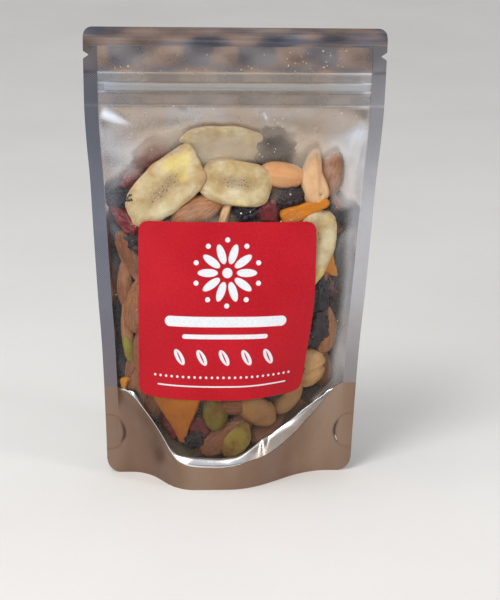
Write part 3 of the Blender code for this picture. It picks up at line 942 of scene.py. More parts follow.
def build_zip(material):
    """The closed zip: a band with two fine ribs, crushed where the side seals cross it."""
    box_low, box_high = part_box("zip_strip")
    half = (box_high.x - box_low.x) / 2
    tall = (box_high.z - box_low.z) / 2
    thick = (box_high.y - box_low.y) / 2
    inner = half - 5 * MM
    xs = np.concatenate([
        np.linspace(-half, -inner, 12)[:-1],
        np.linspace(-inner, inner, 80),
        np.linspace(inner, half, 12)[1:],
    ])
    turns = np.linspace(0, 2 * math.pi, 49)[:-1]
    crush = 0.35 + 0.65 * smooth((half - np.abs(xs)) / (4 * MM))
    square = (np.abs(np.cos(turns)) ** 3.5 + np.abs(np.sin(turns)) ** 3.5) ** (-1 / 3.5)
    rib = 1 - 0.07 * np.exp(-((np.sin(turns) / 0.16) ** 2))
    points = []
    for x, share in zip(xs, crush):
        y = SEAL_PLANE + thick * share * 0.72 * np.cos(turns) * square * rib
        z = ZIP_HEIGHT + tall * (0.85 + 0.15 * share) * np.sin(turns) * square
        points.append(np.stack([np.full_like(y, x), y, z], axis=1))
    count = len(turns)
    faces = []
    for k in range(len(xs) - 1):
        for i in range(count):
            j = (i + 1) % count
            faces.append((k * count + i, k * count + j, (k + 1) * count + j, (k + 1) * count + i))
    faces.append(tuple(range(count))[::-1])
    faces.append(tuple((len(xs) - 1) * count + i for i in range(count)))
    return mesh_object("zip_band", np.concatenate(points), faces, [material])


# What is inside
SEED = 11
FILL_TOP = 143 * MM
LOOSE_TOP = 160 * MM  # no loose piece settles higher
DEEPEST = 2.7 * MM  # a loose piece that sits deeper in another is left out
FILM_GAP = 0.35 * MM
LOW_SHADE = 0.50
CRUMBS = 170
PALE_KINDS = ("banana", "mango", "peanut", "cashew", "pistachio")
PALE_TOP = 105 * MM
SETTLE_STEPS = 170
FILLERS = [
    ("almond", 52, (22, 12.5, 8)),
    ("raisin", 76, (12.5, 9.5, 8)),
    ("cranberry", 40, (13, 10, 5)),
    ("banana", 9, (30, 20, 4.5)),
    ("mango", 13, (18, 11, 5)),
    ("peanut", 22, (15, 9.5, 8.5)),
    ("cashew", 14, (22, 11, 8)),
    ("pistachio", 15, (14, 9, 8)),
]

# The pieces that show, in millimetres and degrees:
# kind, across, up, turn, (length, width, thickness), how far behind the film, and for some a tone from
# 0 (dark) to 1 (pale)
SHOWN = [
    ("banana", -31, 137, 47, (41, 22, 5.0), 0, 0.8),
    ("banana", 1, 139.5, -8, (33, 20, 6.0), 0, 0.75),
    ("blanched", 21.5, 143, -8, (21.5, 11.5, 8.5), 0.4),
    ("upright", 37, 141.5, 95, (24, 14, 9), 0.3),
    ("raisin", 26, 132.5, 20, (13, 11, 9), 0.8),
    ("almond", -16, 127.5, 25, (26, 13, 8), 0.8, 1.0),
    ("stick", -3.5, 126.5, 72, (13, 5, 5), 1.6),
    ("raisin", 5.5, 126.5, 10, (12, 10, 8), 1.2),
    ("cranberry", 15, 126.5, 80, (11, 10.5, 8), 1.0),
    ("mango", 32, 127, 20, (23, 8, 6), 1.0),
    ("banana", 35.5, 110, 72, (35, 20, 5.5), 0.1, 0.5),
    ("raisin", 46, 123, 60, (14, 10, 8), 3.0),
    ("almond", 50.5, 123, 95, (18, 9, 6), 4.0),
    ("wedge", 45.5, 101.5, -50, (16, 13, 5), 2.4, 0.6),
    ("almond", 40.5, 96, 35, (21, 11, 5), 4.0, 0.3),
    ("mango", 34, 92, 15, (17, 11, 4.5), 5.5, 0.0),
    ("raisin", 41.5, 87, 70, (17, 13, 9), 1.0),
    ("raisin", 43, 71.5, 100, (20, 15, 10), 0.5),
    ("grooved", 44.2, 50, 92, (19.5, 17.5, 12), 0.3, 1.0),
    ("almond", 51, 68, 88, (22, 11, 7), 2.0),
    ("almond", 51.5, 50, 95, (20, 10, 7), 3.5),
    ("peanut", 34, 38.8, 62, (20, 15, 11), 0.8, 0.5),
    ("cranberry", -50.5, 121, -38, (17, 8, 5), 0.8),
    ("raisin", -47.5, 111, 30, (13, 10, 8), 1.6),
    ("almond", -50, 104.5, -62, (25, 10, 5), 1.6, 0.0),
    ("almond", -46.5, 82.5, 84, (26, 13, 8), 0.3, 0.4),
    ("almond", -43.5, 62, 96, (24, 12, 8), 1.5),
    ("pistachio", -53, 62.5, 102, (15, 6, 5), 1.0, 0.1),
    ("mango", -54.5, 45.5, 40, (7, 5, 4), 0.4),
    ("almond", -55, 92, 86, (24, 9, 5), 2.2, 0.3),
    ("almond", -55.5, 70, 95, (25, 8, 5), 2.0, 0.6),
    ("almond", -53, 52, 80, (20, 9, 5), 2.6, 0.2),
    ("almond", -48, 43, 78, (24, 12, 8), 1.4),
    ("almond", -39.5, 37, 62, (23, 12, 8), 2.4),
    ("cranberry", -32, 27, -50, (13, 10, 5), 2.0),
    ("wedge", -25.5, 34, -84, (26, 24, 8), 0),
    ("pistachio", -7, 36.2, 88, (18, 11.5, 9), 0.5, 0.3),
    ("almond", 3, 39.5, -4, (17, 9, 8), 2.0),
    ("peanut", 16.5, 35.5, -38, (23.5, 14.5, 12), 0.8, 0.3),
    ("almond", -4, 23.5, 40, (24, 12, 8), 2.0, 0.5),
    ("almond", 9, 31, 62, (20, 11, 7), 5.0),
    ("pistachio", 3.3, 22.2, 58, (17.5, 12.5, 9), 0.2, 1.0),
    ("cranberry", -16, 30, -50, (15, 11, 6), 3.0),
    ("raisin", -18.5, 23.5, 30, (14, 11, 8), 3.0),
]

# Pieces high up at the back, seen dimly over the front ones; the banana chip's low tone darkens it as painted
# shade
BEHIND = [
    ("raisin", 18, 152.5, 10, (17, 14, 7.0), 0),
    ("cranberry", -36, 148.5, 40, (19, 14, 6.5), 0, 0.2),
    ("banana", -6, 153.5, 4, (37, 19, 3.4), 0, 0.3),
    ("raisin", -27, 150, 45, (15, 12, 5.5), 0),
    ("cranberry", -46, 137, 60, (15, 11, 5), 0.3),
    ("almond", 44, 141, 75, (22, 12, 6), 0.3),
]


def icosphere(level):
    bm = bmesh.new()
    bmesh.ops.create_icosphere(bm, subdivisions=level, radius=1)
    points = np.array([v.co[:] for v in bm.verts])
    faces = np.array([[v.index for v in f.verts] for f in bm.faces])
    bm.free()
    return points, faces


BALLS = {level: icosphere(level) for level in (2, 4, 5)}


def wrinkle(points, scale, seed, folds=False):
    """Noise per point; folds gives sharp valleys and round ridges."""
    shift = Vector((seed * 7.13 % 97, seed * 3.71 % 89, seed * 1.93 % 83))
    found = np.array([noise.noise(Vector(p) * scale + shift) for p in points])
    return np.abs(found) if folds else found


def unit(v):
    return v / np.linalg.norm(v, axis=-1, keepdims=True)


def almond_shape(d, size, seed):
    """A drop: round at one end, pointed at the other, with long fine wrinkles."""
    length, width, thick = size
    s = d[:, 0]
    narrow = 1 - 0.22 * s - 0.20 * np.clip(s, 0, 1) ** 3
    tip = s * length / 2 + 0.04 * length * np.clip(s, 0, 1) ** 6
    p = np.stack([tip, d[:, 1] * narrow * width / 2, d[:, 2] * narrow * thick / 2], 1)
    turn = np.arctan2(d[:, 2], d[:, 1])
    lines = wrinkle(np.stack([s * 0.9, np.cos(turn) * 3.4, np.sin(turn) * 3.4], 1), 1.6, seed)
    return p + unit(d) * (lines * 0.30 + 0.35 * wrinkle(d, 1.5, seed + 3))[:, None]


def raisin_shape(d, size, seed):
    """Shrunk fruit: deep round folds over finer ones."""
    coarse = wrinkle(d, 1.9, seed, folds=True)
    fine = wrinkle(d, 4.6, seed + 5, folds=True)
    lump = 1 + 0.22 * wrinkle(d, 1.1, seed + 9)
    grow = (0.86 + 0.55 * coarse**0.8 + 0.20 * fine) * lump
    return d * grow[:, None] * np.array(size) / 2 * 0.92


def cranberry_shape(d, size, seed):
    """A dried half: a crumpled cup with a rolled edge."""
    coarse = wrinkle(d, 1.5, seed, folds=True)
    fine = wrinkle(d, 3.8, seed + 5, folds=True)
    p = d * (0.85 + 0.6 * coarse + 0.22 * fine)[:, None] * np.array(size) / 2 * 0.92
    cup = 0.10 * size[2] * ((d[:, 0] ** 2 + d[:, 1] ** 2) * 2 - 1)
    p[:, 2] += cup + 0.8 * wrinkle(d, 1.2, seed + 2)
    return p


def banana_shape(d, size, seed):
    """A lengthwise slice: a wavy boxy oval, sunken along the seeds, with a slightly rolled rim."""
    length, width, thick = size
    rho = np.sqrt(d[:, 0] ** 2 + d[:, 1] ** 2)
    turn = np.arctan2(d[:, 1], d[:, 0])
    square = (np.abs(np.cos(turn)) ** 2.7 + np.abs(np.sin(turn)) ** 2.7) ** (-1 / 2.7)
    ring = np.stack([np.cos(turn), np.sin(turn), np.zeros_like(turn)], 1)
    outline = square * (1 + 0.16 * wrinkle(ring, 1.1, seed) + 0.07 * wrinkle(ring, 3.0, seed + 1))
    out = np.clip(rho, 0, 1) ** 0.72
    x = np.cos(turn) * out * outline * length / 2
    y = np.sin(turn) * out * outline * width / 2
    flat = np.sign(d[:, 2]) * np.abs(d[:, 2]) ** 0.42
    sunken = 0.42 * np.exp(-((x / (0.34 * length)) ** 2 + (y / (0.20 * width)) ** 2))
    hollow = 1 - sunken + 0.10 * np.exp(-(((out - 0.8) / 0.12) ** 2))
    bent = 1.1 * (x / (length / 2)) ** 2 + 1.2 * wrinkle(np.stack([x, y, 0 * x], 1) / 20, 1.0, seed + 2)
    pits = 0.28 * wrinkle(np.stack([x, y, 0 * x], 1), 0.55, seed + 3)
    rough = 0.16 * wrinkle(np.stack([x, y, flat], 1), 1.4, seed + 4)
    return np.stack([x, y, flat * (hollow * thick / 2 + pits + rough) - bent], 1)


def mango_shape(d, size, seed):
    """A cut slab that narrows to one end, slightly bent, with soft corners and torn sides."""
    length, width, thick = size
    n = 4.2
    box = (np.abs(d) ** n).sum(1) ** (-1 / n)
    p = d * box[:, None]
    narrow = 1 - (0.20 + 0.35 * (seed % 3) / 2) * p[:, 0]
    bend = 0.10 * length * (p[:, 0] ** 2) * (0.4 + (seed % 5) / 5)
    side = p[:, 1] * narrow * width / 2 * 0.85
    q = np.stack([p[:, 0] * length / 2, side, p[:, 2] * thick / 2 + bend * 0.5], 1)
    rough = 0.75 * wrinkle(q, 0.16, seed) + 0.35 * wrinkle(q, 0.5, seed + 1)
    return q + d * rough[:, None]


def wedge_shape(d, size, seed):
    """A thick cut piece that runs to a point, with flat sides and a ridge along it."""
    length, width, thick = size
    n = 7.0
    p = d * ((np.abs(d) ** n).sum(1) ** (-1 / n))[:, None]
    narrow = 1 - 0.86 * smooth((p[:, 0] + 1.1) / 2.2)
    ridge_line = 1 - 0.45 * np.abs(p[:, 1] - 0.15)
    high = p[:, 2] * ridge_line * (0.5 + 0.5 * narrow) * thick / 2
    q = np.stack([p[:, 0] * length / 2, p[:, 1] * narrow * width / 2, high], 1)
    rough = 0.8 * wrinkle(q, 0.15, seed, folds=True) + 0.35 * wrinkle(q, 0.5, seed + 1)
    return q + d * rough[:, None]


def kernel_shape(d, size, seed):
    """A smooth oval kernel with a shallow seam along one side and a small nib."""
    s = d[:, 0]
    nib = 0.05 * size[0] * np.clip((s - 0.9) / 0.1, 0, 1) ** 2
    p = d * np.array(size) / 2
    p[:, 0] += nib
    seam = np.exp(-((d[:, 1] / 0.07) ** 2)) * (d[:, 2] > 0) * np.clip(1.1 - s**2, 0, 1)
    soft = 0.5 * wrinkle(d, 1.3, seed) + 0.12 * wrinkle(d, 5.0, seed + 1)
    return p + d * (soft - 0.35 * seam)[:, None]


def grooved_shape(d, size, seed):
    """A broad kernel with a groove across it and fine ridges that run to its ends."""
    p = d * np.array(size) / 2
    s = d[:, 0] + 0.10 * d[:, 1]
    groove = np.exp(-(((s - 0.05) / 0.11) ** 2)) * np.clip(d[:, 2] + 0.5, 0, 1)
    waves = wrinkle(np.stack([s * 0.5, d[:, 1] * 4.5, d[:, 2]], 1), 1.5, seed, folds=True)
    second = np.exp(-(((s - 0.45) / 0.06) ** 2)) * 0.4
    return p + d * (0.6 * waves * (s > 0) - 1.5 * groove - second + 0.5 * wrinkle(d, 1.4, seed))[:, None]


def cashew_shape(d, size, seed, bend=1.15, ends=(0.74, 1.12)):
    """A bent nut, thicker at one end."""
    length, width, thick = size
    s = d[:, 0]
    r = np.clip(np.sqrt(np.clip(1 - s**2, 0, 1)), 1e-4, 1)
    fuller = r**0.62 / r
    grow = ends[0] + (ends[1] - ends[0]) * (1 - s) / 2
    radius = length / 2 / max(math.sin(bend), bend * 0.5)
    turn = s * bend
    reach = radius + d[:, 1] * fuller * grow * width / 2 * 0.82
    x = np.sin(turn) * reach
    y = np.cos(turn) * reach - radius * (1 + math.cos(bend)) / 2
    z = d[:, 2] * fuller * grow * thick / 2
    p = np.stack([x, y, z], 1)
    soft = 0.55 * wrinkle(d, 1.4, seed) + 0.14 * wrinkle(d, 4.5, seed + 1)
    return p + d * soft[:, None]


def upright_shape(d, size, seed):
    """A nut seen from its back: a narrow head, a wide foot with a small hole, and a fold between."""
    p = cashew_shape(d, size, seed, bend=0.45, ends=(0.55, 1.3))
    length = size[0]
    s = p[:, 0] / (length / 2)
    p[:, 1] += 0.9 * wrinkle(np.stack([s, 0 * s, 0 * s], 1), 1.6, seed + 4)
    ridges = wrinkle(np.stack([s * 1.2, p[:, 1] / 3.0, 0 * s], 1), 1.0, seed + 6, folds=True)
    hole = np.exp(-(((p[:, 0] + 0.33 * length) ** 2 + (p[:, 1] + 1.0) ** 2) / 0.8))
    p[:, 2] += (1.1 * ridges - 1.6 * hole) * (d[:, 2] > 0)
    return p


def stick_shape(d, size, seed):
    return cashew_shape(d, size, seed, bend=0.3, ends=(0.8, 1.1))


SHAPES = {
    "almond": (almond_shape, 4), "raisin": (raisin_shape, 5), "cranberry": (cranberry_shape, 4),
    "banana": (banana_shape, 5), "mango": (mango_shape, 4), "wedge": (wedge_shape, 5),
    "peanut": (kernel_shape, 4), "blanched": (kernel_shape, 4), "pistachio": (kernel_shape, 4),
    "cashew": (cashew_shape, 4), "grooved": (grooved_shape, 5), "upright": (upright_shape, 5),
    "stick": (stick_shape, 4),
}
GROUPS = {
    "almonds": ["almond"], "raisins": ["raisin"], "cranberries": ["cranberry"], "banana_chips": ["banana"],
    "mango_slices": ["mango", "wedge"], "peanuts": ["peanut", "grooved"], "blanched_almonds": ["blanched"],
    "cashews": ["cashew", "upright", "stick"], "pistachios": ["pistachio"],
}


class Piece:
    def __init__(self, kind, size, centre, axes, seed, loose, tone=None):
        self.kind, self.size, self.seed, self.loose, self.tone = kind, size, seed, loose, tone
        self.centre = np.array(centre, float)
        self.axes = np.array(axes, float)

    def spheres(self):
        """Centres and radius of the balls that stand for it while it settles, in metres."""
        length, width, thick = (s * MM for s in self.size)
        r = max(thick / 2, 2.2 * MM) * 0.95
        xs = np.linspace(-1, 1, max(1, math.ceil((length - 2 * r) / (1.8 * r)) + 1)) * max(length / 2 - r, 0)
        ys = np.linspace(-1, 1, max(1, math.ceil((width - 2 * r) / (1.8 * r)) + 1)) * max(width / 2 - r, 0)
        if width <= 2.6 * r:
            ys = np.array([0.0])
            r = (r + width / 2) / 2
        gx, gy = np.meshgrid(xs, ys)
        keep = (gx / (length / 2)) ** 2 + (gy / (width / 2 + 1e-6)) ** 2 < 0.95
        local = np.stack([gx[keep], gy[keep], 0 * gx[keep]], 1)
        return local @ self.axes.T, r


def floor_height(x, y):
    """Height of the folded bottom under a point."""
    low = int(20 * MM / HEIGHT * (len(FRONT.ups) - 1))
    across = np.interp(x, FRONT.x[low], FRONT.along)
    seal = seal_height(across)
    y0 = SEAL_PLANE - FRONT.depth_at(x, seal)
    y1 = SEAL_PLANE + BACK.depth_at(x, seal)
    share = np.clip((y - y0) / np.maximum(y1 - y0, MM), 0, 1)
    top = gusset_top(across, seal)
    return top + (seal - top) * gusset_rise(share) + gusset_roll(across, share, seal - top)


def film_frame(web, across, up, turn):
    """The film's point, and axes for a piece that lies against it: along, over, and outwards."""
    step = 1.5 * MM
    p = web.at(across, up)
    right = web.at(across + step, up) - web.at(across - step, up)
    rise = web.at(across, up + step) - web.at(across, up - step)
    out = np.cross(right, rise)
    out = out / np.linalg.norm(out) * (1 if web.front else -1)
    right = right / np.linalg.norm(right)
    rise = np.cross(out, right) if web.front else np.cross(right, out)
    c, s = math.cos(turn), math.sin(turn)
    along = right * c + rise * s
    return p, np.stack([along, np.cross(out, along), out], 1)


def placed(web, rows, seed):
    found = []
    for k, (kind, across, up, turn, size, behind, *tone) in enumerate(rows):
        p, axes = film_frame(web, across * MM, up * MM, math.radians(turn))
        centre = p - axes[:, 2] * (size[2] / 2 + 0.5 + behind) * MM
        found.append(Piece(kind, size, centre, axes, seed + k, False, *tone))
    return found


def random_axes(rng, flat):
    """A random turn; flat pieces stay nearly parallel to the film."""
    w = np.array([rng.normal(0, 0.35 if flat else 1), -1, rng.normal(0, 0.35 if flat else 1)])
    w = w / np.linalg.norm(w)
    a = rng.normal(size=3)
    u = a - w * (a @ w)
    u = u / np.linalg.norm(u)
    return np.stack([u, np.cross(w, u), w], 1)


def loose_pieces(rng):
    found = []
    for kind, count, size in FILLERS:
        for _ in range(count):
            up = (14 + (FILL_TOP / MM - 14) * rng.random() ** 0.9) * MM
            wide = float(through(HALF_WIDTHS, up)) - 7 * MM
            if kind in PALE_KINDS:
                up, wide = min(up, PALE_TOP), wide * 0.5
            x = rng.uniform(-wide, wide)
            share = rng.beta(0.6, 1.2)
            y0 = SEAL_PLANE - float(FRONT.depth_at(x, up)) + 4 * MM
            y1 = SEAL_PLANE + float(BACK.depth_at(x, up)) - 4 * MM
            grown = tuple(s * rng.uniform(0.86, 1.14) for s in size)
            flat = kind in ("banana", "mango", "cranberry")
            centre = (x, y0 + (y1 - y0) * share, up)
            axes = random_axes(rng, flat)
            found.append(Piece(kind, grown, centre, axes, int(rng.integers(1000)), True))
    return found


def settle(pieces):
    """Moves the loose pieces apart and inside the bag, and returns how deep each still sits in another."""
    balls = [piece.spheres() for piece in pieces]
    owner = np.concatenate([np.full(len(b[0]), k) for k, b in enumerate(balls)])
    local = np.concatenate([b[0] for b in balls])
    radius = np.concatenate([np.full(len(b[0]), b[1]) for b in balls])
    loose = np.array([piece.loose for piece in pieces], float)
    centre = np.array([piece.centre for piece in pieces])
    pairs = None
    for step in range(SETTLE_STEPS):
        at = centre[owner] + local
        if step % 12 == 0:
            i, j = np.triu_indices(len(at), 1)
            other = owner[i] != owner[j]
            i, j = i[other], j[other]
            near = ((at[i] - at[j]) ** 2).sum(1) < (radius[i] + radius[j] + 6 * MM) ** 2
            pairs = i[near], j[near]
        i, j = pairs
        gap = at[i] - at[j]
        far = np.linalg.norm(gap, axis=1) + 1e-9
        deep = np.clip(radius[i] + radius[j] - far, 0, None)
        push = gap / far[:, None] * deep[:, None]
        move = np.zeros_like(centre)
        count = np.full(len(pieces), 0.6)
        hit = deep > 0
        for one, sign in ((i, 1), (j, -1)):
            np.add.at(move, owner[one][hit], sign * push[hit])
            np.add.at(count, owner[one][hit], 1)
        move = move / count[:, None] * 0.9
        worst = np.zeros(len(pieces))
        np.maximum.at(worst, owner[i], deep)
        np.maximum.at(worst, owner[j], deep)
        move[:, 2] -= 0.12 * MM * (step < SETTLE_STEPS * 0.8)
        centre += move * loose[:, None]
        centre += wall_push(centre[owner] + local, radius, owner, len(pieces)) * loose[:, None]
    for piece, place in zip(pieces, centre):
        piece.centre = place
    return worst


def wall_push(at, radius, owner, count):
    """How far each piece has to move to be back inside the film, the foil and the folded bottom."""
    front_y = SEAL_PLANE - FRONT.depth_at(at[:, 0], at[:, 2])
    back_y = SEAL_PLANE + BACK.depth_at(at[:, 0], at[:, 2])
    tight = np.clip(2 * radius - (back_y - front_y), 0, None)
    high = np.zeros((count, 3))
    low = np.zeros((count, 3))
    wanted = np.zeros_like(at)
    wanted[:, 1] = np.clip(front_y + radius - at[:, 1], 0, None)
    wanted[:, 1] -= np.clip(at[:, 1] - back_y + radius, 0, None)
    wanted[:, 0] = -np.sign(at[:, 0]) * tight * 0.5
    floor = floor_height(at[:, 0], at[:, 1])
    wanted[:, 2] = np.clip(floor + radius - at[:, 2], 0, None)
    wanted[:, 2] -= np.clip(at[:, 2] + radius - LOOSE_TOP, 0, None)
    np.maximum.at(high, owner, wanted)
    np.minimum.at(low, owner, wanted)
    return (high + low) * 0.7


def inside(points):
    """Presses a piece's points against the film, the foil or the bottom instead of letting them through."""
    p = points.copy()
    p[:, 0] = np.clip(p[:, 0], -HALF_FLAT + SIDE_SEAL + 3 * MM, HALF_FLAT - SIDE_SEAL - 3 * MM)
    front_y = SEAL_PLANE - FRONT.depth_at(p[:, 0], p[:, 2]) + FILM_GAP
    back_y = SEAL_PLANE + BACK.depth_at(p[:, 0], p[:, 2]) - FILM_GAP
    middle = (front_y + back_y) / 2
    p[:, 1] = np.minimum(np.maximum(p[:, 1], np.minimum(front_y, middle)), np.maximum(back_y, middle))
    p[:, 2] = np.maximum(p[:, 2], floor_height(p[:, 0], p[:, 1]) + 0.3 * MM)
    return p


def build_contents(pieces):
    rng = np.random.default_rng(SEED + 1)
    everything = []
    for group, kinds in GROUPS.items():
        points, faces, places, tones, sides = [], [], [], [], []
        total = 0
        for piece in (p for p in pieces if p.kind in kinds):
            shape, level = SHAPES[piece.kind]
            d, tris = BALLS[level]
            local = shape(d, piece.size, piece.seed)
            points.append(inside(piece.centre + local * MM @ piece.axes.T))
            faces.append(tris + total)
            total += len(d)
            places.append(local)
            tones.append(np.full(len(d), rng.random() if piece.tone is None else piece.tone))
            sides.append(local / np.array(piece.size, float))
        if not points:
            continue
        points = np.concatenate(points)
        everything.append(points)
        obj = mesh_object(group, points, np.concatenate(faces), [KIND_MATERIALS[group]()])
        add_place(obj, np.concatenate(places))
        add_field(obj, "tone", np.concatenate(tones))
        # Painted shade: the pieces get darker towards the bottom of the pouch.
        lit = smooth((points[:, 2] - 33 * MM) / (30 * MM))
        add_field(obj, "shade", LOW_SHADE + (1 - LOW_SHADE) * lit)
        add_place(obj, np.concatenate(sides), "share")
        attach(obj, "root")
        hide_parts("bag")
    return np.concatenate(everything)


def shifted(n):
    """The place on the piece, moved by its tone so that no two pieces have the same marks."""
    tone = n.field("tone")
    apart = {"X": n.times(tone, 157.0), "Y": n.times(tone, 91.0), "Z": 0.0}
    move = n.add("ShaderNodeCombineXYZ", apart).outputs[0]
    at = n.add("ShaderNodeVectorMath", {0: n.place(), 1: move}, operation="ADD").outputs[0]
    return at, tone


def painted_low_shade(n, colour):
    """Painted shade: deeper colour low in the pouch, where less light reaches the pieces."""
    shade = n.field("shade")
    dims = {"X": shade, "Y": n.math("POWER", shade, 1.25), "Z": n.math("POWER", shade, 1.6)}
    return n.mix(1.0, colour, n.add("ShaderNodeCombineXYZ", dims).outputs[0], "MULTIPLY")


def coated(n, colour, rough, normal, gloss):
    """The finished material of a piece of the contents."""
    return n.finish(n.surface(painted_low_shade(n, colour), rough, normal, Specular_IOR_Level=gloss))


def almond_skin():
    n = Nodes("almond_skin")
    at, tone = shifted(n)
    lines = n.noise(n.stretch(at, (0.16, 1.1, 1.1)), 1.0, 4.0, 0.6)
    patch = n.noise(at, 0.16, 3.0)
    base = n.mix(n.grey(tone, 0, 1, 0.1, 0.9), (0.19, 0.060, 0.022), (0.48, 0.20, 0.078))
    dark = n.mix(n.grey(lines, 0.35, 0.62), n.mix(0.55, base, (0.05, 0.016, 0.008)), base)
    colour = n.mix(n.grey(patch, 0.52, 0.75, 0, 0.5), dark, (0.42, 0.22, 0.12))
    normal = n.bump(lines, 0.0008, 1.0)
    return coated(n, colour, n.grey(patch, 0.3, 0.7, 0.36, 0.55), normal, 0.25)


def raisin_skin():
    n = Nodes("raisin_skin")
    at, tone = shifted(n)
    fine = n.noise(at, 0.5, 2.0, 0.6)
    patch = n.noise(at, 0.22, 3.0)
    base = n.mix(n.grey(tone, 0, 1), (0.012, 0.010, 0.014), (0.030, 0.014, 0.014))
    bloom = n.mix(n.grey(patch, 0.45, 0.75, 0, 0.25), base, (0.045, 0.043, 0.052))
    normal = n.bump(fine, 0.0006, 0.9)
    return coated(n, bloom, n.grey(patch, 0.3, 0.7, 0.32, 0.5), normal, 0.25)


def cranberry_skin():
    n = Nodes("cranberry_skin")
    at, tone = shifted(n)
    fine = n.noise(at, 0.5, 2.0, 0.6)
    patch = n.noise(at, 0.2, 3.0)
    base = n.mix(n.grey(tone, 0, 1), (0.105, 0.006, 0.010), (0.22, 0.020, 0.018))
    colour = n.mix(n.grey(patch, 0.4, 0.7, 0, 0.6), base, (0.045, 0.004, 0.006))
    normal = n.bump(fine, 0.0005, 0.9)
    return coated(n, colour, n.grey(patch, 0.3, 0.7, 0.25, 0.42), normal, 0.3)


def banana_flesh():
    n = Nodes("banana_flesh")
    at, tone = shifted(n)
    part = n.parts(n.place("share"))
    across_seeds = n.math("ABSOLUTE", part[1])
    along = n.math("ABSOLUTE", part[0])
    cloud = n.noise(at, 0.10, 4.0, 0.55)
    grain = n.noise(n.stretch(at, (0.5, 0.9, 0.9)), 0.9, 4.0, 0.6)
    cream = n.mix(n.grey(cloud, 0.35, 0.65), (0.42, 0.27, 0.095), (0.64, 0.545, 0.335))
    cream = n.mix(n.grey(n.noise(at, 0.07, 1.0), 0.58, 0.68, 0, 0.6), cream, (0.76, 0.58, 0.14))
    wobble = n.grey(n.noise(at, 0.35, 3.0), 0, 1, -0.06, 0.06)
    near_line = n.grey(n.plus(across_seeds, wobble), 0.03, 0.19, 1, 0)
    middle = n.times(near_line, n.grey(n.plus(along, wobble), 0.12, 0.36, 1, 0))
    flesh = n.mix(n.times(middle, 0.8), cream, (0.32, 0.20, 0.085))
    pitch = {"Vector": n.stretch(at, (0.62, 1.05, 0.2)), "Scale": 1.0}
    dots = n.add("ShaderNodeTexVoronoi", pitch).outputs["Distance"]
    seeds = n.times(n.grey(dots, 0.22, 0.36, 1, 0), n.grey(middle, 0.45, 0.7))
    flesh = n.mix(n.times(seeds, 0.75), flesh, (0.07, 0.035, 0.022))
    square = n.plus(n.times(across_seeds, across_seeds), n.times(along, along))
    edge = n.grey(n.plus(square, n.times(wobble, 0.3)), 0.17, 0.26)
    flesh = n.mix(n.times(edge, n.grey(grain, 0.38, 0.62, 0.1, 0.75)), flesh, (0.40, 0.22, 0.11))
    # Darker chips for lower tones: the tone differs at random from chip to chip, and the chip high at the
    # back is given a low tone as painted shade.
    flesh = n.mix(1.0, flesh, n.grey(tone, 0, 1, 0.82, 1.0), "MULTIPLY")
    normal = n.bump(grain, 0.0005, 0.8)
    return coated(n, flesh, n.grey(cloud, 0.3, 0.7, 0.36, 0.52), normal, 0.3)


def mango_flesh():
    n = Nodes("mango_flesh")
    at, tone = shifted(n)
    fibre = n.noise(n.stretch(at, (0.25, 1.0, 1.0)), 0.8, 4.0, 0.6)
    cloud = n.noise(at, 0.14, 3.0)
    base = n.mix(n.grey(tone, 0, 1), (0.54, 0.165, 0.005), (0.64, 0.270, 0.012))
    colour = n.mix(n.grey(cloud, 0.4, 0.7, 0, 0.6), base, (0.40, 0.110, 0.008))
    sugar = n.grey(n.noise(at, 1.5, 2.0), 0.62, 0.72, 0, 0.3)
    colour = n.mix(n.times(sugar, n.grey(cloud, 0.45, 0.55)), colour, (0.88, 0.76, 0.55))
    normal = n.bump(fibre, 0.0006, 0.9)
    return coated(n, colour, n.grey(fibre, 0.3, 0.7, 0.30, 0.5), normal, 0.2)


def nut_flesh(name, dark, light, brown):
    n = Nodes(name)
    at, tone = shifted(n)
    cloud = n.noise(at, 0.13, 3.0)
    grain = n.noise(n.stretch(at, (0.35, 1.0, 1.0)), 1.0, 4.0, 0.6)
    base = n.mix(n.grey(tone, 0, 1), dark, light)
    colour = n.mix(n.grey(cloud, 0.45, 0.72, 0, 0.6), base, brown)
    colour = n.mix(n.grey(grain, 0.5, 0.7, 0, 0.3), colour, brown)
    normal = n.bump(grain, 0.0003, 0.7)
    return coated(n, colour, 0.45, normal, 0.25)


def peanut_flesh():
    return nut_flesh("peanut_flesh", (0.42, 0.22, 0.070), (0.58, 0.34, 0.135), (0.30, 0.130, 0.045))


def blanched_flesh():
    return nut_flesh("blanched_flesh", (0.60, 0.30, 0.12), (0.66, 0.36, 0.16), (0.50, 0.20, 0.075))


def cashew_flesh():
    return nut_flesh("cashew_flesh", (0.58, 0.34, 0.165), (0.66, 0.42, 0.22), (0.52, 0.23, 0.10))


def pistachio_flesh():
    n = Nodes("pistachio_flesh")
    at, tone = shifted(n)
    cloud = n.noise(at, 0.16, 4.0, 0.6)
    grain = n.noise(n.stretch(at, (0.4, 1.0, 1.0)), 1.0, 4.0, 0.6)
    green = n.mix(n.grey(tone, 0, 1), (0.175, 0.165, 0.018), (0.34, 0.270, 0.035))
    skin = n.grey(n.plus(cloud, n.times(grain, 0.25)), 0.56, 0.76, 0, 0.8)
    colour = n.mix(skin, green, (0.20, 0.060, 0.025))
    normal = n.bump(grain, 0.0004, 0.8)
    return coated(n, colour, n.grey(cloud, 0.3, 0.7, 0.38, 0.55), normal, 0.2)


KIND_MATERIALS = {
    "almonds": almond_skin, "raisins": raisin_skin, "cranberries": cranberry_skin,
    "banana_chips": banana_flesh, "mango_slices": mango_flesh, "peanuts": peanut_flesh,
    "blanched_almonds": blanched_flesh, "cashews": cashew_flesh, "pistachios": pistachio_flesh,
}


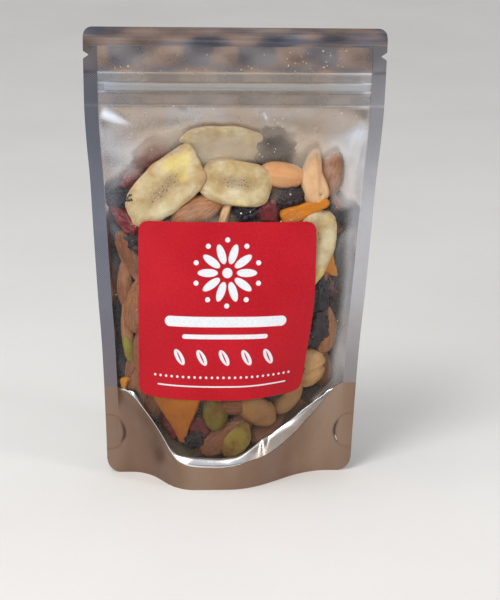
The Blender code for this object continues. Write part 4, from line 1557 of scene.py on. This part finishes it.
def haze_field(across, up, contents):
    """Haze per place of the front film: more where nothing lies close behind it, and on the zip's tape. Where
    nothing lies close behind, the haze stands partly for the film's blurred reflections, as painted
    reflection; pale bands near the side seals are painted highlights.
    """
    wide, tall = 134, 208
    nearest = np.full((tall, wide), 1.0)
    rows = np.clip((contents[:, 2] / MM).astype(int), 0, tall - 1)
    columns = np.clip((contents[:, 0] / MM + wide / 2).astype(int), 0, wide - 1)
    np.minimum.at(nearest, (rows, columns), contents[:, 1])
    gx, gz = np.meshgrid((np.arange(wide) - wide / 2 + 0.5) * MM, (np.arange(tall) + 0.5) * MM)
    nearest = np.minimum(nearest, SEAL_PLANE + BACK.depth_at(gx, gz))
    gap = nearest - (SEAL_PLANE - FRONT.depth_at(gx, gz))
    for _ in range(2):
        padded = np.pad(gap, 1, mode="edge")
        gap = sum(padded[i:i + tall, j:j + wide] for i in range(3) for j in range(3)) / 9
    p = FRONT.at(across, up)
    i = np.clip(p[..., 2] / MM - 0.5, 0, tall - 1.001)
    j = np.clip(p[..., 0] / MM + wide / 2 - 0.5, 0, wide - 1.001)
    behind = lerp(gap, i, j)
    clear_low = 0.12 + 0.88 * smooth((up - 85 * MM) / (60 * MM))
    touching = 2.2 * MM - 1.8 * MM * smooth((up - 147 * MM) / (6 * MM))
    most = 0.40 + 0.12 * smooth((up - 146 * MM) / (8 * MM))
    open_haze = 0.004 + most * smooth((behind - touching) / (7 * MM)) * clear_low
    # Pale bands near the side seals, stronger on the right: painted highlights.
    lowest = np.where(across > 0, 28 * MM, 75 * MM)
    edge = smooth((np.abs(across) - 49 * MM) / (7 * MM)) * smooth((up - lowest) / (30 * MM))
    side = np.where(across > 0, 0.34, 0.16 * smooth((up - 110 * MM) / (20 * MM)))
    open_haze = open_haze + edge * side * (1 - smooth((up - 160 * MM) / (8 * MM)))
    tape = 0.12 * smooth((up - TAPE_LOW) / (0.3 * MM)) * (1 - smooth((up - TAPE_HIGH) / (0.3 * MM)))
    lines = 0.42 * np.exp(-(((up - TAPE_LOW) / (0.45 * MM)) ** 2))
    lines = lines + 0.40 * np.exp(-(((up - TAPE_HIGH) / (0.4 * MM)) ** 2))
    bar_top = 0.30 * np.exp(-((np.abs(up - ZIP_HEIGHT) - 1.9 * MM) / (0.4 * MM)) ** 2)
    beside = ((np.abs(across) - 57 * MM) / (1.6 * MM)) ** 2
    crushed = 0.15 * np.exp(-beside - ((up - ZIP_HEIGHT) / (2.4 * MM)) ** 2)
    return open_haze + tape + lines + bar_top + crushed


def crumb_flesh():
    return nut_flesh("crumb_flesh", (0.52, 0.38, 0.20), (0.80, 0.72, 0.56), (0.40, 0.22, 0.10))


def build_crumbs(rng):
    """Tiny crumbs and sugar grains that cling to the inside of the film."""
    d, tris = BALLS[2]
    across = np.concatenate([rng.uniform(-56, 56, CRUMBS), rng.uniform(20, 50, CRUMBS // 7)]) * MM
    up = np.concatenate([60 + 134 * rng.random(CRUMBS) ** 0.6, rng.uniform(186, 196, CRUMBS // 7)]) * MM
    up = np.maximum(up, seal_height(across) + 4 * MM)
    off_zip = (up < TAPE_LOW) | (up > TAPE_HIGH)
    points, faces, places, tones = [], [], [], []
    for k, centre in enumerate(FRONT.at(across, up, -0.35 * MM)[off_zip]):
        size = rng.uniform(0.12, 0.34) * MM
        squash = np.array([rng.uniform(0.7, 1.4), 0.5, rng.uniform(0.7, 1.4)])
        local = d * squash * size
        points.append(centre + local)
        faces.append(tris + k * len(d))
        places.append(local / MM)
        tones.append(np.full(len(d), rng.random()))
    obj = mesh_object("crumbs", np.concatenate(points), np.concatenate(faces), [crumb_flesh()])
    add_place(obj, np.concatenate(places))
    add_field(obj, "tone", np.concatenate(tones))
    add_field(obj, "shade", np.ones(len(obj.data.vertices)))
    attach(obj, "root")
    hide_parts("bag")


def fill_bag():
    rng = np.random.default_rng(SEED)
    pieces = placed(FRONT, SHOWN, 100) + placed(BACK, BEHIND, 200) + loose_pieces(rng)
    worst = settle(pieces)
    kept = [p for p, deep in zip(pieces, worst) if not p.loose or deep < DEEPEST]
    build_crumbs(rng)
    return build_contents(kept)


contents = fill_bag()
front = build_front([clear_film(), gusset_foil(), sealed_foil(), top_seal_foil(), seal_edge_highlight_foil()], contents)
weld(front)
back = build_back(back_foil())
weld(back)
gusset = build_gusset(inner_foil())
zip_band = build_zip(zip_plastic())
label = build_label(label_paper())
for piece in (front, back, gusset):
    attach(piece, "root")
    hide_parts("bag")
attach(zip_band, "root")
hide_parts("zip_strip")
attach(label, "root")
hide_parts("label")


# Floor, light and camera
def floor_material():
    n = Nodes("floor_paper")
    at = n.object_place((1, 1, 1))
    tone = n.grey(n.noise(at, 6.0, 3.0), 0.3, 0.7)
    colour = n.mix(tone, (0.68, 0.655, 0.62), (0.72, 0.695, 0.66))
    return n.finish(n.surface(colour, 0.7))


FLOOR_HALF = 3
corners = [(x * FLOOR_HALF, y * FLOOR_HALF, 0) for x, y in ((-1, -1), (1, -1), (1, 1), (-1, 1))]
floor = mesh_object("floor", corners, [(0, 1, 2, 3)], [floor_material()])


def softbox(name, place, aim, size, power, colour=(1, 1, 1)):
    lamp = bpy.data.lights.new(name, "AREA")
    lamp.shape = "RECTANGLE"
    lamp.size, lamp.size_y = size
    lamp.energy = power
    lamp.color = colour
    obj = bpy.data.objects.new(name, lamp)
    obj.location = place
    obj.rotation_euler = (Vector(aim) - Vector(place)).to_track_quat("-Z", "Y").to_euler()
    bpy.context.scene.collection.objects.link(obj)


def daylight(name, aim_from, strength, spread, colour=(1, 1, 1)):
    """Even light from one side, soft at its edges, for the pouch and the whole floor."""
    lamp = bpy.data.lights.new(name, "SUN")
    lamp.energy = strength
    lamp.angle = math.radians(spread)
    lamp.color = colour
    obj = bpy.data.objects.new(name, lamp)
    obj.rotation_euler = Vector(aim_from).to_track_quat("Z", "Y").to_euler()
    bpy.context.scene.collection.objects.link(obj)


daylight("day", (-0.42, -0.50, 0.85), 0.90, 22, (1.0, 0.98, 0.95))
softbox("key", (-0.40, -0.30, 0.88), (0, 0, 0.06), (1.0, 0.55), 3.8, (1.0, 0.99, 0.97))
softbox("left_window", (-0.63, -0.69, 0.43), (0, 0, 0.15), (0.48, 0.48), 3.8, (0.84, 0.92, 1.0))
softbox("right_strip", (0.72, -0.45, 0.34), (0, 0, 0.12), (0.10, 0.6), 2.6, (0.95, 0.97, 1.0))


def studio_sky():
    """A plain studio: dim at eye level, bright overhead."""
    world = bpy.data.worlds.new("studio")
    world.use_nodes = True
    tree = world.node_tree
    at = tree.nodes.new("ShaderNodeTexCoord").outputs["Generated"]
    split = tree.nodes.new("ShaderNodeSeparateXYZ")
    tree.links.new(at, split.inputs["Vector"])
    level = tree.nodes.new("ShaderNodeValToRGB")
    tree.links.new(split.outputs["Z"], level.inputs["Fac"])
    stops = level.color_ramp.elements
    stops[0].color = (0.22, 0.225, 0.24, 1)
    stops[1].color = (0.62, 0.64, 0.68, 1)
    tree.links.new(level.outputs["Color"], tree.nodes["Background"].inputs["Color"])
    return world


bpy.context.scene.world = studio_sky()
bpy.context.scene.view_settings.view_transform = "Standard"

# The camera stands a little to the left, looks down and is turned slightly on its axis
CAMERA_DISTANCE = 0.780
CAMERA_AZIMUTH = math.radians(-4.01)
CAMERA_ELEVATION = math.radians(17.76)
CAMERA_ROLL = math.radians(1.09)
CAMERA_TARGET = Vector((8.09 * MM, 1.0 * MM, 83.28 * MM))
FOCAL_PIXELS = 1736
IMAGE_LONG_SIDE = 600
SENSOR = 36.0


def add_camera():
    camera = bpy.data.cameras.new("camera")
    camera.sensor_width = SENSOR
    camera.lens = FOCAL_PIXELS * SENSOR / IMAGE_LONG_SIDE
    obj = bpy.data.objects.new("camera", camera)
    level = math.cos(CAMERA_ELEVATION)
    right, back = math.sin(CAMERA_AZIMUTH) * level, -math.cos(CAMERA_AZIMUTH) * level
    away = Vector((right, back, math.sin(CAMERA_ELEVATION)))
    turn = (-away).to_track_quat("-Z", "Y").to_matrix() @ Matrix.Rotation(CAMERA_ROLL, 3, "Z")
    obj.matrix_world = Matrix.Translation(CAMERA_TARGET + away * CAMERA_DISTANCE) @ turn.to_4x4()
    bpy.context.scene.collection.objects.link(obj)
    bpy.context.scene.camera = obj


add_camera()
